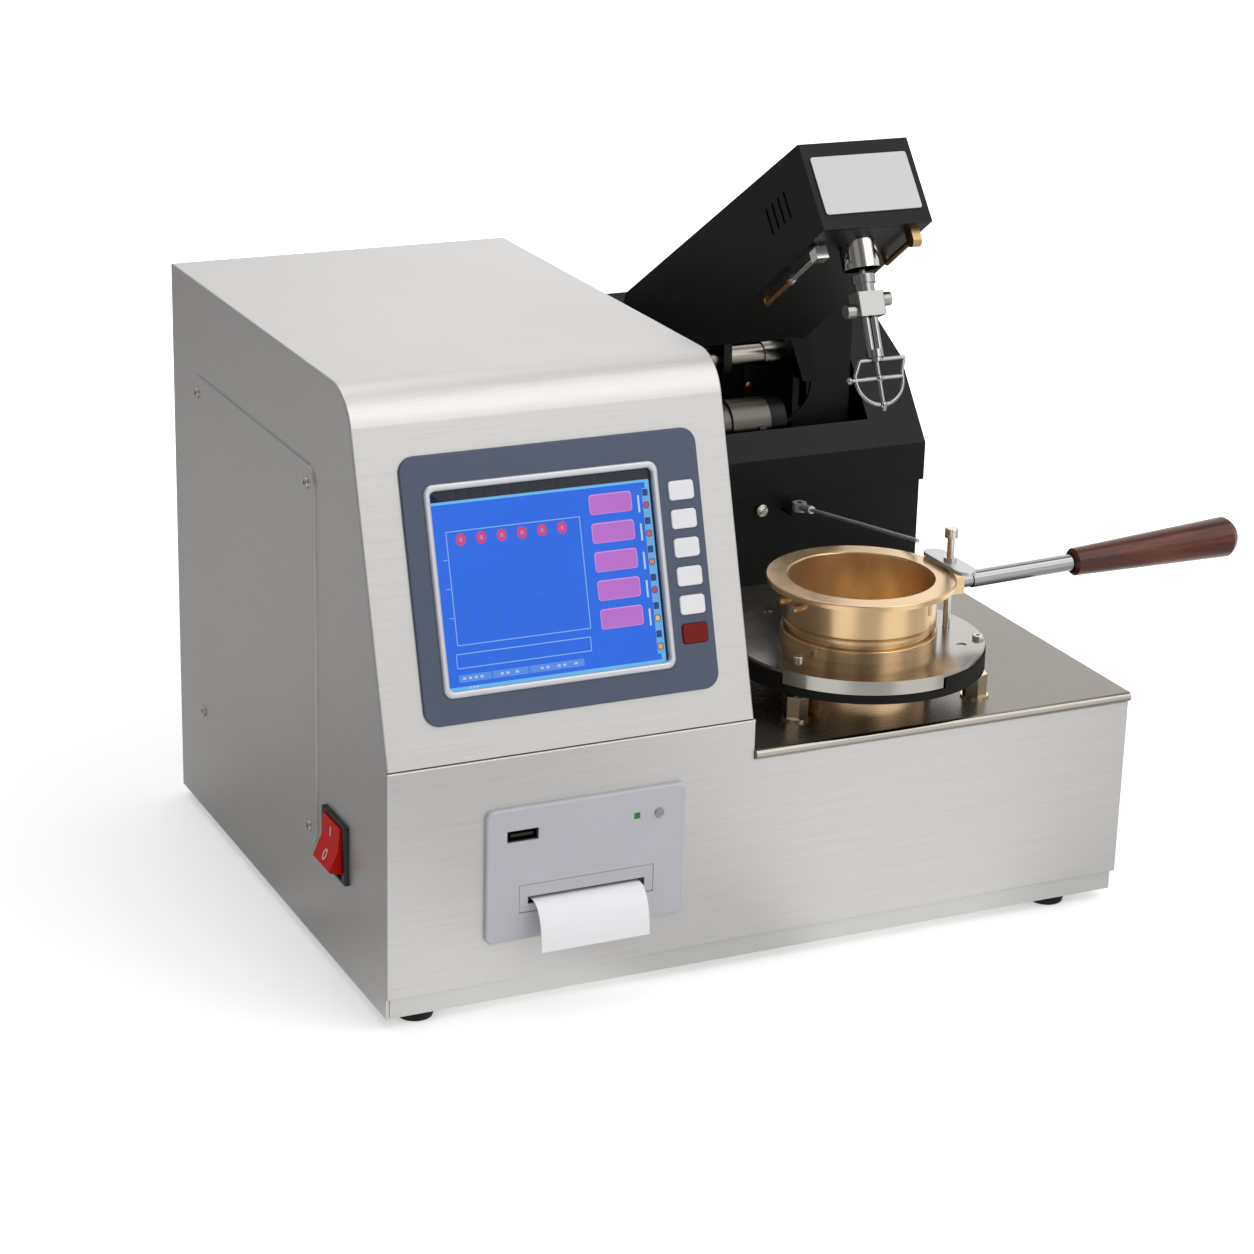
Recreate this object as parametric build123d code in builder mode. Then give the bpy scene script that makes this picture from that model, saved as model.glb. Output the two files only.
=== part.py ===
"""Open cup flash point tester with a control housing, a heated cup stage and a tilting test head.

Frame: millimetres, +Z up, origin on the floor under the middle of the front left foot. The front
faces -Y. Heights named here start at the underside of the body, which stands on its feet. Places
named across start at the left side of the body, those named beyond start at the right side of the
control housing, and places named back start at the front of the body.
"""
import os
from math import asin, atan2, copysign, cos, hypot, pi, radians, sin, sqrt, tan

from build123d import *

os.makedirs("parts", exist_ok=True)

# ---- Body ----
body_width = 420
body_depth = 326
foot_height = 6
foot_radius = 10
sheet = 1.5
seat = 0.05
gap = 0.3
pin_fit = 0.05
mesh_fit = 0.02
band_height = 10.5
band_inset = 2
tray_wall_height = 24
seam_height = 130
seam_gap = 0.8
front_round = 0.9
housing_width = 196
housing_height = 305
slope_run = 54
bend_radius = 25
hood_sheet = 2
hood_edge_radius = 0.9
deck_height = 114
deck_sheet = 2
deck_lip = 5
deck_overhang = 1.2
deck_roll_radius = 1.3
deck_lip_depth = 3
deck_step_gap = 1.2
wiring_hole_length = 160
wiring_hole_height = 56
wiring_hole_up = 60
wiring_hole_back = 163

foot_across = (20, 386)
foot_back = 14

left = -foot_across[0]
right = left + body_width
front = -foot_back
rear = front + body_depth
base = foot_height
deck_top = base + deck_height
deck_left = left + housing_width + deck_step_gap
housing_right = left + housing_width
slope_angle = atan2(slope_run, housing_height - seam_height)

# ---- Feet and vents ----
foot_taper = 1.2
vent_length = 46
vent_width = 4
vent_pitch = 9
floor_vent_count = 8
floor_vent_beyond = 56.2
floor_vent_back = 163
rear_vent_count = 9
rear_vent_places = ((98, 213), (315, 57))

# ---- Control panel on the sloped front ----
bezel_width = 157
bezel_length = 130
bezel_across = 100
bezel_up = 84.2
bezel_thick = 1.5
bezel_corner = 8
bezel_round = 0.75
frame_width = 123.4
frame_length = 103
frame_across = 94.1
frame_up = 83.2
frame_bar = 3.4
frame_thick = 2.6
frame_corner = 5
window_corner = 2.6
frame_round = 1.2
glass_border = 1
lcd_body_width = 124
lcd_body_length = 104
lcd_body_depth = 4.6
key_width = 13.7
key_length = 9.6
key_corner = 1.8
key_round = 0.6
key_pitch = 14.2
key_across = 167.6
key_up = 118.6
key_proud = 2.3
key_flange = 1
key_flange_thick = 1.2
key_travel = 1.2
key_count = 5
stem_radius = 2
board_depth = 7.4
board_thick = 1.6
board_width = 156
board_across = 100
board_up = 83
board_post_radius = 2.5
board_post_across = (27, 170)
board_post_up = (32, 133)
switch_cap_size = 6
glass_recess = 0.2
key_clearance = 0.1
board_length = 116
switch_cap_height = 1.1

# ---- Printer ----
printer_across = 104.7
printer_up = 67.8
printer_width = 108
printer_height = 70.8
printer_thick = 2.5
printer_corner = 4
printer_round = 1.2
printer_opening_margin = 4
door_width = 72.4
door_height = 14.4
door_up = 54.5
door_thick = 1.4
door_round = 0.5
slot_width = 63.4
slot_height = 4.2
slot_up = 53.3
hinge_radius = 0.8
hinge_pin_reach = 2
door_hinge_rise = 1.4
door_hinge_out = 1.6
door_sink = 0.1
usb_across = 69.9
usb_up = 88.6
usb_width = 16.8
usb_height = 6.2
lamp_across = 131.4
lamp_up = 89.4
lamp_size = 3.2
button_across = 143.5
button_radius = 2.5
button_proud = 0.8
button_flange = 1
button_flange_thick = 1.2
usb_wall = 0.6
usb_depth = 16
usb_tongue_width = 12
usb_tongue_thick = 1.6
usb_sink = 1
head_bar_depth = 8
head_bar_height = 3.5
paper_curl = 9
paper_lean = 0.5
roll_radius = 17
roll_width = 57.5
roll_back = 40
roll_up = 60
spindle_radius = 3
platen_radius = 5
platen_shaft_radius = 2
platen_back = 10
cheek_spacing = 62
cheek_thick = 2
cheek_depth = 56
cheek_low = 38
cheek_high = 70
paper_width = 58.5
paper_thick = 0.3
paper_reach = 15
paper_end_up = 30

# ---- Left side: access cover and power switch ----
access_length = 192
access_height = 202
access_back = 193
access_up = 153.2
access_corner = 10
access_margin = 14
access_thick = 1.2
access_round = 0.5
screw_inset = 9.5
screw_head_radius = 3
screw_head_height = 1.5
screw_head_round = 0.75
cross_depth = 0.9
cross_turn = 30
screw_radius = 1.9
screw_length = 8
cross_length = 3.4
cross_width = 0.8
switch_back = 69
switch_up = 66
switch_length = 34
switch_height = 32
switch_proud = 2.5
switch_rim = 1
switch_corner = 1.5
switch_depth = 26
rocker_length = 24
rocker_half_height = 12
rocker_tilt = 14
switch_end_gap = 2
switch_edge_radius = 0.8
rocker_well = 16
rocker_pivot_in = 3
rocker_pin_radius = 1.5
rocker_pin_sink = 1
rocker_end_out = 9.5
rocker_middle_out = 7.5
rocker_side_out = 3
rocker_body_radius = 9
rocker_body_in = 2

# ---- Rear: mains inlet, power supply ----
inlet_across = 60
inlet_up = 40
inlet_width = 48
inlet_height = 30
inlet_flange = 3
inlet_corner = 3
inlet_floor = 2
inlet_pin_reach = 16
inlet_depth = 24
inlet_mouth_width = 27
inlet_mouth_height = 20
inlet_wall = 1.5
inlet_pin_rise = 4
inlet_pin_spacing = 7
inlet_pin_width = 2
inlet_pin_length = 4
supply_width = 110
supply_depth = 90
supply_height = 55
supply_across = 85
supply_back = 210
supply_vent_count = 7

# ---- Cup stage ----
cup_beyond = 85.8
cup_back = 50.1
heater_radius = 40.2
heater_wall = 3
heater_height = 20
heater_recess = 12
wire_hole_radius = 8
insulator_radius = 66.6
apron_relief = 0.3
insulator_thick = 9.9
plate_radius = 66
plate_thick = 2
apron_height = 5.4
apron_thick = 3
apron_from = -154
apron_sweep = 76.5
dimple_places = ((45.3, -29.4), (-25.6, 51.9))
dimple_radius = 2.6
dimple_depth = 0.5
collar_radius = 41
collar_bore_radius = 38.5
collar_height = 6.5
collar_round = 0.6
cup_height = 34.2
cup_flange_radius = 49.5
cup_flange_thick = 3
cup_wall_radius = 40.3
cup_bore_radius = 38
cup_floor_radius = 35.6
cup_floor_thick = 3.5
cup_floor_corner = 3
cup_neck_radius = 38.2
cup_neck_height = 9.5
cup_foot_chamfer = 1
cup_rim_round = 0.8
cup_groove_up = 12.2
cup_groove_depth = 1.2
cup_groove_width = 1.6
cup_boss_angles = (171, -169)
cup_boss_radius = 2.3
cup_boss_length = 4
cup_bead_angle = -56
cup_bead_radius = 1.1
cup_bead_length = 11
stud_places = ((-44.8, -18.3), (58, -24.4), (8, 54))
stud_radius = 1.85
stud_head_radius = 2.9
stud_head_height = 2
stud_head_round = 0.5
stud_socket_radius = 1.4
stud_socket_depth = 1.2
nut_radius = 6.5
nut_height = 11.8
nut_turn = 15
washer_radius = 7.4
washer_thick = 1.2

# ---- Cup handle, locating pin and latch ----
handle_rise = 1.8
handle_up = 23.6
lug_start = 39.5
lug_length = 19
lug_width = 14
lug_height = 9
handle_stud_radius = 2.5
handle_stud_length = 4.5
handle_collar_radius = 3.8
handle_collar_start = 0.3
handle_collar_length = 8
handle_rod_radius = 4.5
handle_rod_length = 62
grip_length = 105
grip_start_radius = 7.4
grip_end_radius = 11
grip_bore_length = 20
grip_nose = 1.5
grip_dome = 7
pin_out = 51.2
pin_side = -3.1
pin_radius = 1.9
pin_head_radius = 3.5
pin_head_height = 5
pin_head_round = 0.8
pin_top = 55
pin_sink = 1.5
pin_hole_gap = 0.3
flange_notch_radius = 2.4
pin_shoulder_radius = 2.9
pin_shoulder_thick = 0.6
latch_length = 43
latch_width = 12
latch_thick = 2
latch_round = 0.5
latch_nut_radius = 3.4
latch_nut_height = 1.8

# ---- Ignition rod ----
rod_beyond = 138.5
rod_back = 216.5
rod_up = 159.5
rod_hub_radius = 4
rod_hub_height = 5
rod_pin_radius = 1.5
rod_thick_radius = 2.2
rod_thin_radius = 1.1
rod_thick_length = 16
rod_tip_beyond = 133
rod_tip_back = 74
rod_tip_up = 186
rod_lug_back = 214
rod_lug_half_width = 6
rod_lug_thick = 2
tower_screw_beyond = 118.6
tower_screw_up = 159.4
tower_screw_radius = 3.4
tower_screw_height = 1.6
tower_screw_slot = 0.9
tower_screw_turn = 40

# ---- Tower behind the cup ----
tower_front = 224
tower_lip_low = 167
tower_lip_high = 189.5
tower_bend_back = 258
tower_bend_up = 233
tower_rear_up = 268
tower_lap = 0.3
tower_lap_height = 8
opening_left = 16
opening_right = 191
opening_front = 235
opening_rear = 312

# ---- Lift drive ----
shaft_back = 265
shaft_up = 240
shaft_radius = 6
shaft_left = 17.5
shaft_right = 156
shaft_collar_radius = 7
shaft_collar_left = 135
shaft_collar_right = 145
bearing_thick = 4
bearing_left = 17.5
bearing_right = 149
bearing_width = 30
bearing_up = 262
bearing_corner = 12
post_left = 167
post_right = 186
post_back = 250
post_thick = 4
post_up = 288
post_shoulder_up = 266
post_reach = 158
post_foot_beyond = 149
bracket_floor_thick = 3
bracket_front = 232
bracket_rear = 300
back_plate_left = 135
back_plate_right = 160
back_plate_back = 284
back_plate_up = 247
sensor_front = 240
sensor_top_left = (138.3, 262)
sensor_top_right = (151.8, 261.4)
sensor_low_right = (158.9, 228.2)
sensor_low_left = (150.2, 228.6)
gear_module = 1.25
gear_teeth = 44
pinion_teeth = 16
gear_width = 8
gear_left = 23
gear_backlash = 0.6
gear_pressure_angle = 20
gear_tip = 1.1
gear_root = 1.55
motor_angle = -110.4
motor_shaft_radius = 3
motor_can_radius = 12
motor_bell_radius = 13.5
motor_left = 33
motor_can_length = 73
motor_bell_length = 34
motor_foot_width = 30
motor_foot_thick = 4
motor_foot_places = (33, 122)
motor_bore_depth = 4
lead_radius = 1.1
lead_start = (156.8, 243, 230)
lead_bend = (157, 240, 218)
lead_turn = (146, 238, 206)
lead_end = (133, 242, 203)

# ---- Test head, as it stands tilted up ----
head_width = 62
head_sheet = 1.5
face_low_back = 50.7
face_low_up = 364.4
face_angle = 39.7
face_length = 48.2
head_top_angle = 31.8
head_top_length = 232.2
head_under_angle = 35.6
head_under_length = 159
head_tail_back = 285
head_tail_up = 264
head_edge_radius = 1.2
label_width = 54.6
label_length = 32
label_up = 23.8
label_corner = 1.5
label_thick = 0.8
head_vent_count = 4
head_vent_length = 15
head_vent_width = 2
head_vent_pitch = 7.3
head_vent_back = 99.5
head_vent_up = 362.5
head_vent_angle = 34.6
under_plate_thick = 2.5
arm_thick = 5
arm_spacing = 46
arm_hub_radius = 11
arm_root_station = 108
arm_rear_rise = 10
base_plate_start = 2.2

# ---- Probe under the head ----
probe_back = 70.8
probe_up = 350
probe_tilt = 24.5
can_radius = 9.8
can_length = 12.5
can_rise = 6
can_wall = 0.8
stem_root = 4
stem_rod_radius = 1.7
knurl_radius = 6
knurl_low_radius = 5
knurl_start = 15.5
knurl_length = 4.5
knurl_low_start = 20
clamp_start = 24.5
clamp_length = 12.5
clamp_width = 15
clamp_depth = 11
clamp_edge_radius = 0.8
clamp_knob_radius = 3.6
clamp_knob_length = 5
clamp_knob_stations = ((8, 28.5), (-8, 33.4))
tube_start = 30
tube_radius = 2.2
tube_spacing = 4.6
tube_end = 54
hub_radius = 4.4
hub_thick = 4
needle_radius = 1.2
needle_round = 0.9
needle_end = 85.4
ring_wire_radius = 1
ring_radius = 13.5
ring_centre = 68.5
ring_hub_radius = 3.2
ring_hub_thick = 2
ring_arm_start = 59
ring_arm_knee = 9.5
ring_arm_reach = 16
ring_wire_left = 17
ring_eye_radius = 2.1
ring_ball_radius = 1.8

# ---- Gas pipes under the head ----
pipe_radius = 1.5
pipe_drop = 4.5
left_pipe_in = 6
left_pipe_stations = (25, 53, 87)
fitting_size = 6.5
fitting_length = 7
pipe_ring_radius = 2.4
pipe_ring_length = 3
right_pipe_in = 7
right_pipe_stations = (10, 42)
hook_radius = 3.4
hook_drop = 9
hook_width = 5


def slope_back(height, inset):
    """Place back of the sloped front at a height, moved inwards from the outer skin."""
    return front + (height - seam_height) * tan(slope_angle) + inset / cos(slope_angle)


def housing_side_points(fore, low, high_inset):
    """Corners, seen from the side, of a wall that stands under the hood; the fourth one is rounded."""
    top = housing_height - high_inset
    aft = rear - sheet - seat
    return [
        (fore, base + low),
        (fore, base + seam_height),
        (slope_back(seam_height, high_inset), base + seam_height),
        (slope_back(top, high_inset), base + top),
        (aft, base + top),
        (aft, base + low),
    ]


# ==== Body shell ====

tray_left = left + sheet + 0.5
tray_right = right - band_inset
tray_front = front + band_inset
tray_rear = rear - band_inset
tray_width = tray_right - tray_left
tray_depth = tray_rear - tray_front
tray_centre = ((tray_left + tray_right) / 2, (tray_front + tray_rear) / 2)

with BuildPart() as base_tray:
    with BuildSketch(Plane.XY.offset(base)):
        with Locations(tray_centre):
            Rectangle(tray_width, tray_depth)
    extrude(amount=tray_wall_height)
    with BuildSketch(Plane.XY.offset(base + sheet)):
        with Locations(tray_centre):
            Rectangle(tray_width - 2 * sheet, tray_depth - 2 * sheet)
    extrude(amount=tray_wall_height, mode=Mode.SUBTRACT)
    with BuildSketch(Plane.XY.offset(base)):
        with Locations((housing_right + floor_vent_beyond, front + floor_vent_back)):
            with GridLocations(vent_pitch, 1, floor_vent_count, 1):
                SlotOverall(vent_length, vent_width, rotation=90)
    extrude(amount=sheet, mode=Mode.SUBTRACT)
base_tray.part.label = "base_tray"
export_step(base_tray.part, "parts/base_tray.step")

foot_places = [(left + x, y) for x in foot_across for y in (front + foot_back, rear - foot_back)]
with BuildPart() as rubber_feet:
    with Locations(*[(x, y, foot_height / 2) for x, y in foot_places]):
        Cone(foot_radius - foot_taper, foot_radius, foot_height)
rubber_feet.part.label = "rubber_feet"
export_step(rubber_feet.part, "parts/rubber_feet.step")

front_plane = Plane(origin=(0, front, base), x_dir=(1, 0, 0), z_dir=(0, -1, 0))
printer_x = left + printer_across
with BuildPart() as front_cover:
    with BuildSketch(front_plane):
        with BuildLine():
            Polyline(
                (left, band_height),
                (right, band_height),
                (right, deck_height - deck_lip - seat),
                (deck_left, deck_height - deck_lip - seat),
                (deck_left, seam_height),
                (left, seam_height),
                close=True,
            )
        make_face()
        with Locations((printer_x, printer_up)):
            Rectangle(
                printer_width - 2 * printer_opening_margin,
                printer_height - 2 * printer_opening_margin,
                mode=Mode.SUBTRACT,
            )
    extrude(amount=-sheet)
    outer_edges = front_cover.faces().sort_by(Axis.Y)[0].outer_wire().edges()
    fillet(outer_edges, radius=front_round)
front_cover.part.label = "front_cover"
export_step(front_cover.part, "parts/front_cover.step")

wall_fore = front + sheet + seat
left_plane = Plane(origin=(left, 0, 0), x_dir=(0, -1, 0), z_dir=(-1, 0, 0))
access_centre = (-(front + access_back), base + access_up)
screw_spacing = (access_length - 2 * screw_inset, access_height - 2 * screw_inset)
switch_centre = (-(front + switch_back), base + switch_up)
switch_body_length = switch_length - 2 * switch_rim
switch_body_height = switch_height - 2 * switch_rim
left_points = housing_side_points(wall_fore, 0, hood_sheet + seat)
with BuildPart() as left_side_panel:
    with BuildSketch(Plane.YZ.offset(left)) as left_outline:
        with BuildLine():
            Polyline(*left_points, close=True)
        make_face()
        fillet(left_outline.vertices().sort_by_distance(left_points[3])[0], bend_radius - hood_sheet)
    extrude(amount=sheet)
    with BuildSketch(left_plane):
        with Locations(access_centre):
            RectangleRounded(
                access_length - 2 * access_margin, access_height - 2 * access_margin, access_corner
            )
            with GridLocations(*screw_spacing, 2, 2):
                Circle(screw_radius + pin_fit)
        with Locations(switch_centre):
            Rectangle(switch_body_length + 2 * gap, switch_body_height + 2 * gap)
    extrude(amount=-sheet, mode=Mode.SUBTRACT)
left_side_panel.part.label = "left_side_panel"
export_step(left_side_panel.part, "parts/left_side_panel.step")

inner_points = housing_side_points(wall_fore, sheet + seat, hood_sheet + seat)
with BuildPart() as inner_side_wall:
    with BuildSketch(Plane.YZ.offset(housing_right - sheet)) as inner_outline:
        with BuildLine():
            Polyline(*inner_points, close=True)
        make_face()
        fillet(inner_outline.vertices().sort_by_distance(inner_points[3])[0], bend_radius - hood_sheet)
    extrude(amount=sheet)
    with BuildSketch(Plane.YZ.offset(housing_right - sheet)):
        with Locations((front + wiring_hole_back, base + wiring_hole_up)):
            RectangleRounded(wiring_hole_length, wiring_hole_height, access_corner)
        with Locations((front, base), (rear, base)):
            Rectangle(2 * (band_inset + sheet + seat), 2 * (tray_wall_height + seat))
    extrude(amount=sheet, mode=Mode.SUBTRACT)
inner_side_wall.part.label = "inner_side_wall"
export_step(inner_side_wall.part, "parts/inner_side_wall.step")

panel_plane = Plane(
    origin=(0, front, base + seam_height),
    x_dir=(1, 0, 0),
    z_dir=(0, -cos(slope_angle), sin(slope_angle)),
)
bezel_place = (left + bezel_across, bezel_up)
frame_place = (left + frame_across, frame_up)
window_width = frame_width - 2 * frame_bar + 2 * glass_border
window_length = frame_length - 2 * frame_bar + 2 * glass_border
key_x = left + key_across
key_row_span = key_count * key_pitch
key_row_middle = key_up - key_row_span / 2
key_slot_width = key_width + 2 * key_flange + 2 * gap
key_slot_length = key_row_span + key_length + 2 * key_flange + 2 * gap
hood_low = base + seam_height + seam_gap

with BuildPart() as control_hood:
    with BuildSketch(Plane.YZ.offset(left)):
        with BuildLine():
            FilletPolyline(
                (slope_back(seam_height + seam_gap, 0), hood_low),
                (front + slope_run, base + housing_height),
                (rear, base + housing_height),
                radius=bend_radius,
            )
            offset(amount=hood_sheet, side=Side.RIGHT)
        make_face()
    extrude(amount=housing_width)
    with BuildSketch(panel_plane):
        with Locations(frame_place):
            RectangleRounded(window_width + 2 * gap, window_length + 2 * gap, window_corner)
        with Locations((key_x, key_row_middle)):
            RectangleRounded(key_slot_width, key_slot_length, key_corner)
    extrude(amount=hood_sheet * 3, both=True, mode=Mode.SUBTRACT)
    top_face = control_hood.faces().sort_by(Axis.Z)[-1]
    fillet(top_face.edges().filter_by(Axis.Y), radius=hood_edge_radius)
control_hood.part.label = "control_hood"
export_step(control_hood.part, "parts/control_hood.step")

with BuildPart() as right_side_cover:
    with BuildSketch(Plane.YZ.offset(right - sheet)):
        with BuildLine():
            Polyline(
                (wall_fore, base + band_height),
                (rear - sheet - seat, base + band_height),
                (rear - sheet - seat, deck_top - deck_lip - seat),
                (wall_fore, deck_top - deck_lip - seat),
                close=True,
            )
        make_face()
    extrude(amount=sheet)
right_side_cover.part.label = "right_side_cover"
export_step(right_side_cover.part, "parts/right_side_cover.step")

rear_plane = Plane(origin=(0, rear, base), x_dir=(-1, 0, 0), z_dir=(0, 1, 0))
inlet_place = (-(left + inlet_across), inlet_up)
with BuildPart() as rear_panel:
    with BuildSketch(rear_plane):
        with BuildLine():
            Polyline(
                (-left, 0),
                (-left, housing_height - hood_sheet - seat),
                (-housing_right, housing_height - hood_sheet - seat),
                (-housing_right, deck_height - deck_sheet - seat),
                (-right, deck_height - deck_sheet - seat),
                (-right, 0),
                close=True,
            )
        make_face()
        with Locations(inlet_place):
            Rectangle(
                inlet_mouth_width + 2 * inlet_wall + 2 * gap,
                inlet_mouth_height + 2 * inlet_wall + 2 * gap,
                mode=Mode.SUBTRACT,
            )
        for vent_across, vent_up in rear_vent_places:
            with Locations((-left - vent_across, vent_up)):
                with GridLocations(vent_pitch, 1, rear_vent_count, 1):
                    SlotOverall(vent_length, vent_width, rotation=90, mode=Mode.SUBTRACT)
    extrude(amount=-sheet)
rear_panel.part.label = "rear_panel"
export_step(rear_panel.part, "parts/rear_panel.step")

cup_x = housing_right + cup_beyond
cup_y = front + cup_back
stud_centres = [(cup_x + x, cup_y + y) for x, y in stud_places]
deck_fore = front - deck_overhang
with BuildPart() as deck_plate:
    with BuildSketch(Plane.XY.offset(deck_top - deck_sheet)):
        with Locations(((deck_left + right) / 2, (deck_fore + rear) / 2)):
            Rectangle(right - deck_left, rear - deck_fore)
        with Locations((cup_x, cup_y)):
            Circle(wire_hole_radius, mode=Mode.SUBTRACT)
        with Locations(*stud_centres):
            Circle(stud_radius + pin_fit, mode=Mode.SUBTRACT)
    extrude(amount=deck_sheet)
    with BuildSketch(Plane.XY.offset(deck_top - deck_lip)):
        with Locations(((deck_left + right) / 2, deck_fore + deck_lip_depth / 2)):
            Rectangle(right - deck_left, deck_lip_depth)
        with Locations((right - sheet / 2, (deck_fore + rear - sheet - seat) / 2)):
            Rectangle(sheet, rear - sheet - seat - deck_fore)
    extrude(amount=deck_lip)
    front_face = deck_plate.faces().sort_by(Axis.Y)[0]
    fillet(front_face.edges().filter_by(Axis.X), radius=deck_roll_radius)
deck_plate.part.label = "deck_plate"
export_step(deck_plate.part, "parts/deck_plate.step")

# ==== Left side: access cover, screws, switch ====

with BuildPart() as access_cover:
    with BuildSketch(left_plane):
        with Locations(access_centre):
            RectangleRounded(access_length, access_height, access_corner)
            with GridLocations(*screw_spacing, 2, 2):
                Circle(screw_radius + pin_fit, mode=Mode.SUBTRACT)
    extrude(amount=access_thick)
    fillet(access_cover.faces().sort_by(Axis.X)[0].outer_wire().edges(), radius=access_round)
access_cover.part.label = "access_cover"
export_step(access_cover.part, "parts/access_cover.step")

with BuildPart() as access_cover_screws:
    with BuildSketch(left_plane.offset(access_thick)):
        with Locations(access_centre):
            with GridLocations(*screw_spacing, 2, 2):
                Circle(screw_head_radius)
    extrude(amount=screw_head_height)
    fillet(access_cover_screws.faces().sort_by(Axis.X)[:4].edges(), radius=screw_head_round)
    with BuildSketch(left_plane.offset(access_thick + screw_head_height)):
        with Locations(access_centre):
            with GridLocations(*screw_spacing, 2, 2):
                Rectangle(cross_length, cross_width, rotation=cross_turn)
                Rectangle(cross_width, cross_length, rotation=cross_turn)
    extrude(amount=-cross_depth, mode=Mode.SUBTRACT)
    with BuildSketch(left_plane.offset(access_thick)):
        with Locations(access_centre):
            with GridLocations(*screw_spacing, 2, 2):
                Circle(screw_radius)
    extrude(amount=-screw_length)
access_cover_screws.part.label = "access_cover_screws"
export_step(access_cover_screws.part, "parts/access_cover_screws.step")

with BuildPart() as switch_body:
    with BuildSketch(left_plane):
        with Locations(switch_centre):
            RectangleRounded(switch_length, switch_height, switch_corner)
    extrude(amount=switch_proud)
    fillet(switch_body.faces().sort_by(Axis.X)[0].edges(), radius=switch_edge_radius)
    with BuildSketch(left_plane):
        with Locations(switch_centre):
            Rectangle(switch_body_length, switch_body_height)
    extrude(amount=-switch_depth)
    with BuildSketch(left_plane.offset(switch_proud)):
        with Locations(switch_centre):
            Rectangle(rocker_length + 2 * gap, 2 * rocker_half_height + 2 * switch_end_gap)
    extrude(amount=-switch_proud - rocker_well, mode=Mode.SUBTRACT)
    with BuildSketch(Plane.XZ.offset(switch_centre[0] - rocker_length / 2 - gap - rocker_pin_sink)):
        with Locations((left + rocker_pivot_in, base + switch_up)):
            Circle(rocker_pin_radius)
    extrude(amount=rocker_length + 2 * gap + 2 * rocker_pin_sink)
switch_body.part.label = "switch_body"
export_step(switch_body.part, "parts/switch_body.step")

pivot = (left + rocker_pivot_in, 0, base + switch_up)
rocker_tilt_radians = radians(rocker_tilt)
rocker_plane = Plane(
    origin=(pivot[0], front + switch_back - rocker_length / 2, pivot[2]),
    x_dir=(-cos(rocker_tilt_radians), 0, sin(rocker_tilt_radians)),
    z_dir=(0, 1, 0),
)
body_chord = sqrt(rocker_body_radius**2 - rocker_body_in**2)
with BuildPart() as switch_rocker:
    with BuildSketch(rocker_plane):
        with BuildLine():
            Polyline(
                (-rocker_body_in, -body_chord),
                (rocker_side_out, -rocker_half_height),
                (rocker_end_out, -rocker_half_height),
                (rocker_middle_out, 0),
                (rocker_end_out, rocker_half_height),
                (rocker_side_out, rocker_half_height),
                (-rocker_body_in, body_chord),
            )
            ThreePointArc(
                (-rocker_body_in, body_chord), (-rocker_body_radius, 0), (-rocker_body_in, -body_chord)
            )
        make_face()
        Circle(rocker_pin_radius + pin_fit, mode=Mode.SUBTRACT)
    extrude(amount=rocker_length)
    fillet(switch_rocker.edges().filter_by(Axis.Y).sort_by(Axis.X)[:1], radius=switch_edge_radius)
switch_rocker.part.label = "switch_rocker"
export_step(switch_rocker.part, "parts/switch_rocker.step")

# ==== Control panel: bezel, screen, keys, board ====

key_rows = [key_up - i * key_pitch for i in range(key_count + 1)]
key_places = [(key_x, up) for up in key_rows]
with BuildPart() as display_bezel:
    with BuildSketch(panel_plane):
        with Locations(bezel_place):
            RectangleRounded(bezel_width, bezel_length, bezel_corner)
        with Locations(frame_place):
            RectangleRounded(frame_width + gap, frame_length + gap, frame_corner, mode=Mode.SUBTRACT)
    extrude(amount=bezel_thick)
    bezel_rim = display_bezel.faces().filter_by(panel_plane).sort_by(Axis.Y)[0].outer_wire()
    fillet(bezel_rim.edges(), radius=bezel_round)
    with BuildSketch(panel_plane):
        with Locations(*key_places):
            RectangleRounded(key_width + 2 * gap, key_length + 2 * gap, key_corner)
    extrude(amount=bezel_thick, mode=Mode.SUBTRACT)
display_bezel.part.label = "display_bezel"
export_step(display_bezel.part, "parts/display_bezel.step")

with BuildPart() as screen_frame:
    with BuildSketch(panel_plane):
        with Locations(frame_place):
            RectangleRounded(frame_width, frame_length, frame_corner)
            RectangleRounded(
                frame_width - 2 * frame_bar,
                frame_length - 2 * frame_bar,
                window_corner,
                mode=Mode.SUBTRACT,
            )
    extrude(amount=frame_thick)
    frame_face = screen_frame.faces().filter_by(panel_plane).sort_by(Axis.Y)[0]
    fillet(frame_face.edges(), radius=frame_round)
screen_frame.part.label = "screen_frame"
export_step(screen_frame.part, "parts/screen_frame.step")

with BuildPart() as lcd_panel:
    with BuildSketch(panel_plane.offset(-glass_recess)):
        with Locations(frame_place):
            RectangleRounded(window_width, window_length, window_corner)
    extrude(amount=glass_recess - hood_sheet - seat)
    with BuildSketch(panel_plane.offset(-hood_sheet - seat)):
        with Locations(frame_place):
            Rectangle(lcd_body_width, lcd_body_length)
    extrude(amount=-lcd_body_depth)
lcd_panel.part.label = "lcd_panel"
export_step(lcd_panel.part, "parts/lcd_panel.step")

stem_end = board_depth - switch_cap_height - key_clearance - key_travel


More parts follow.
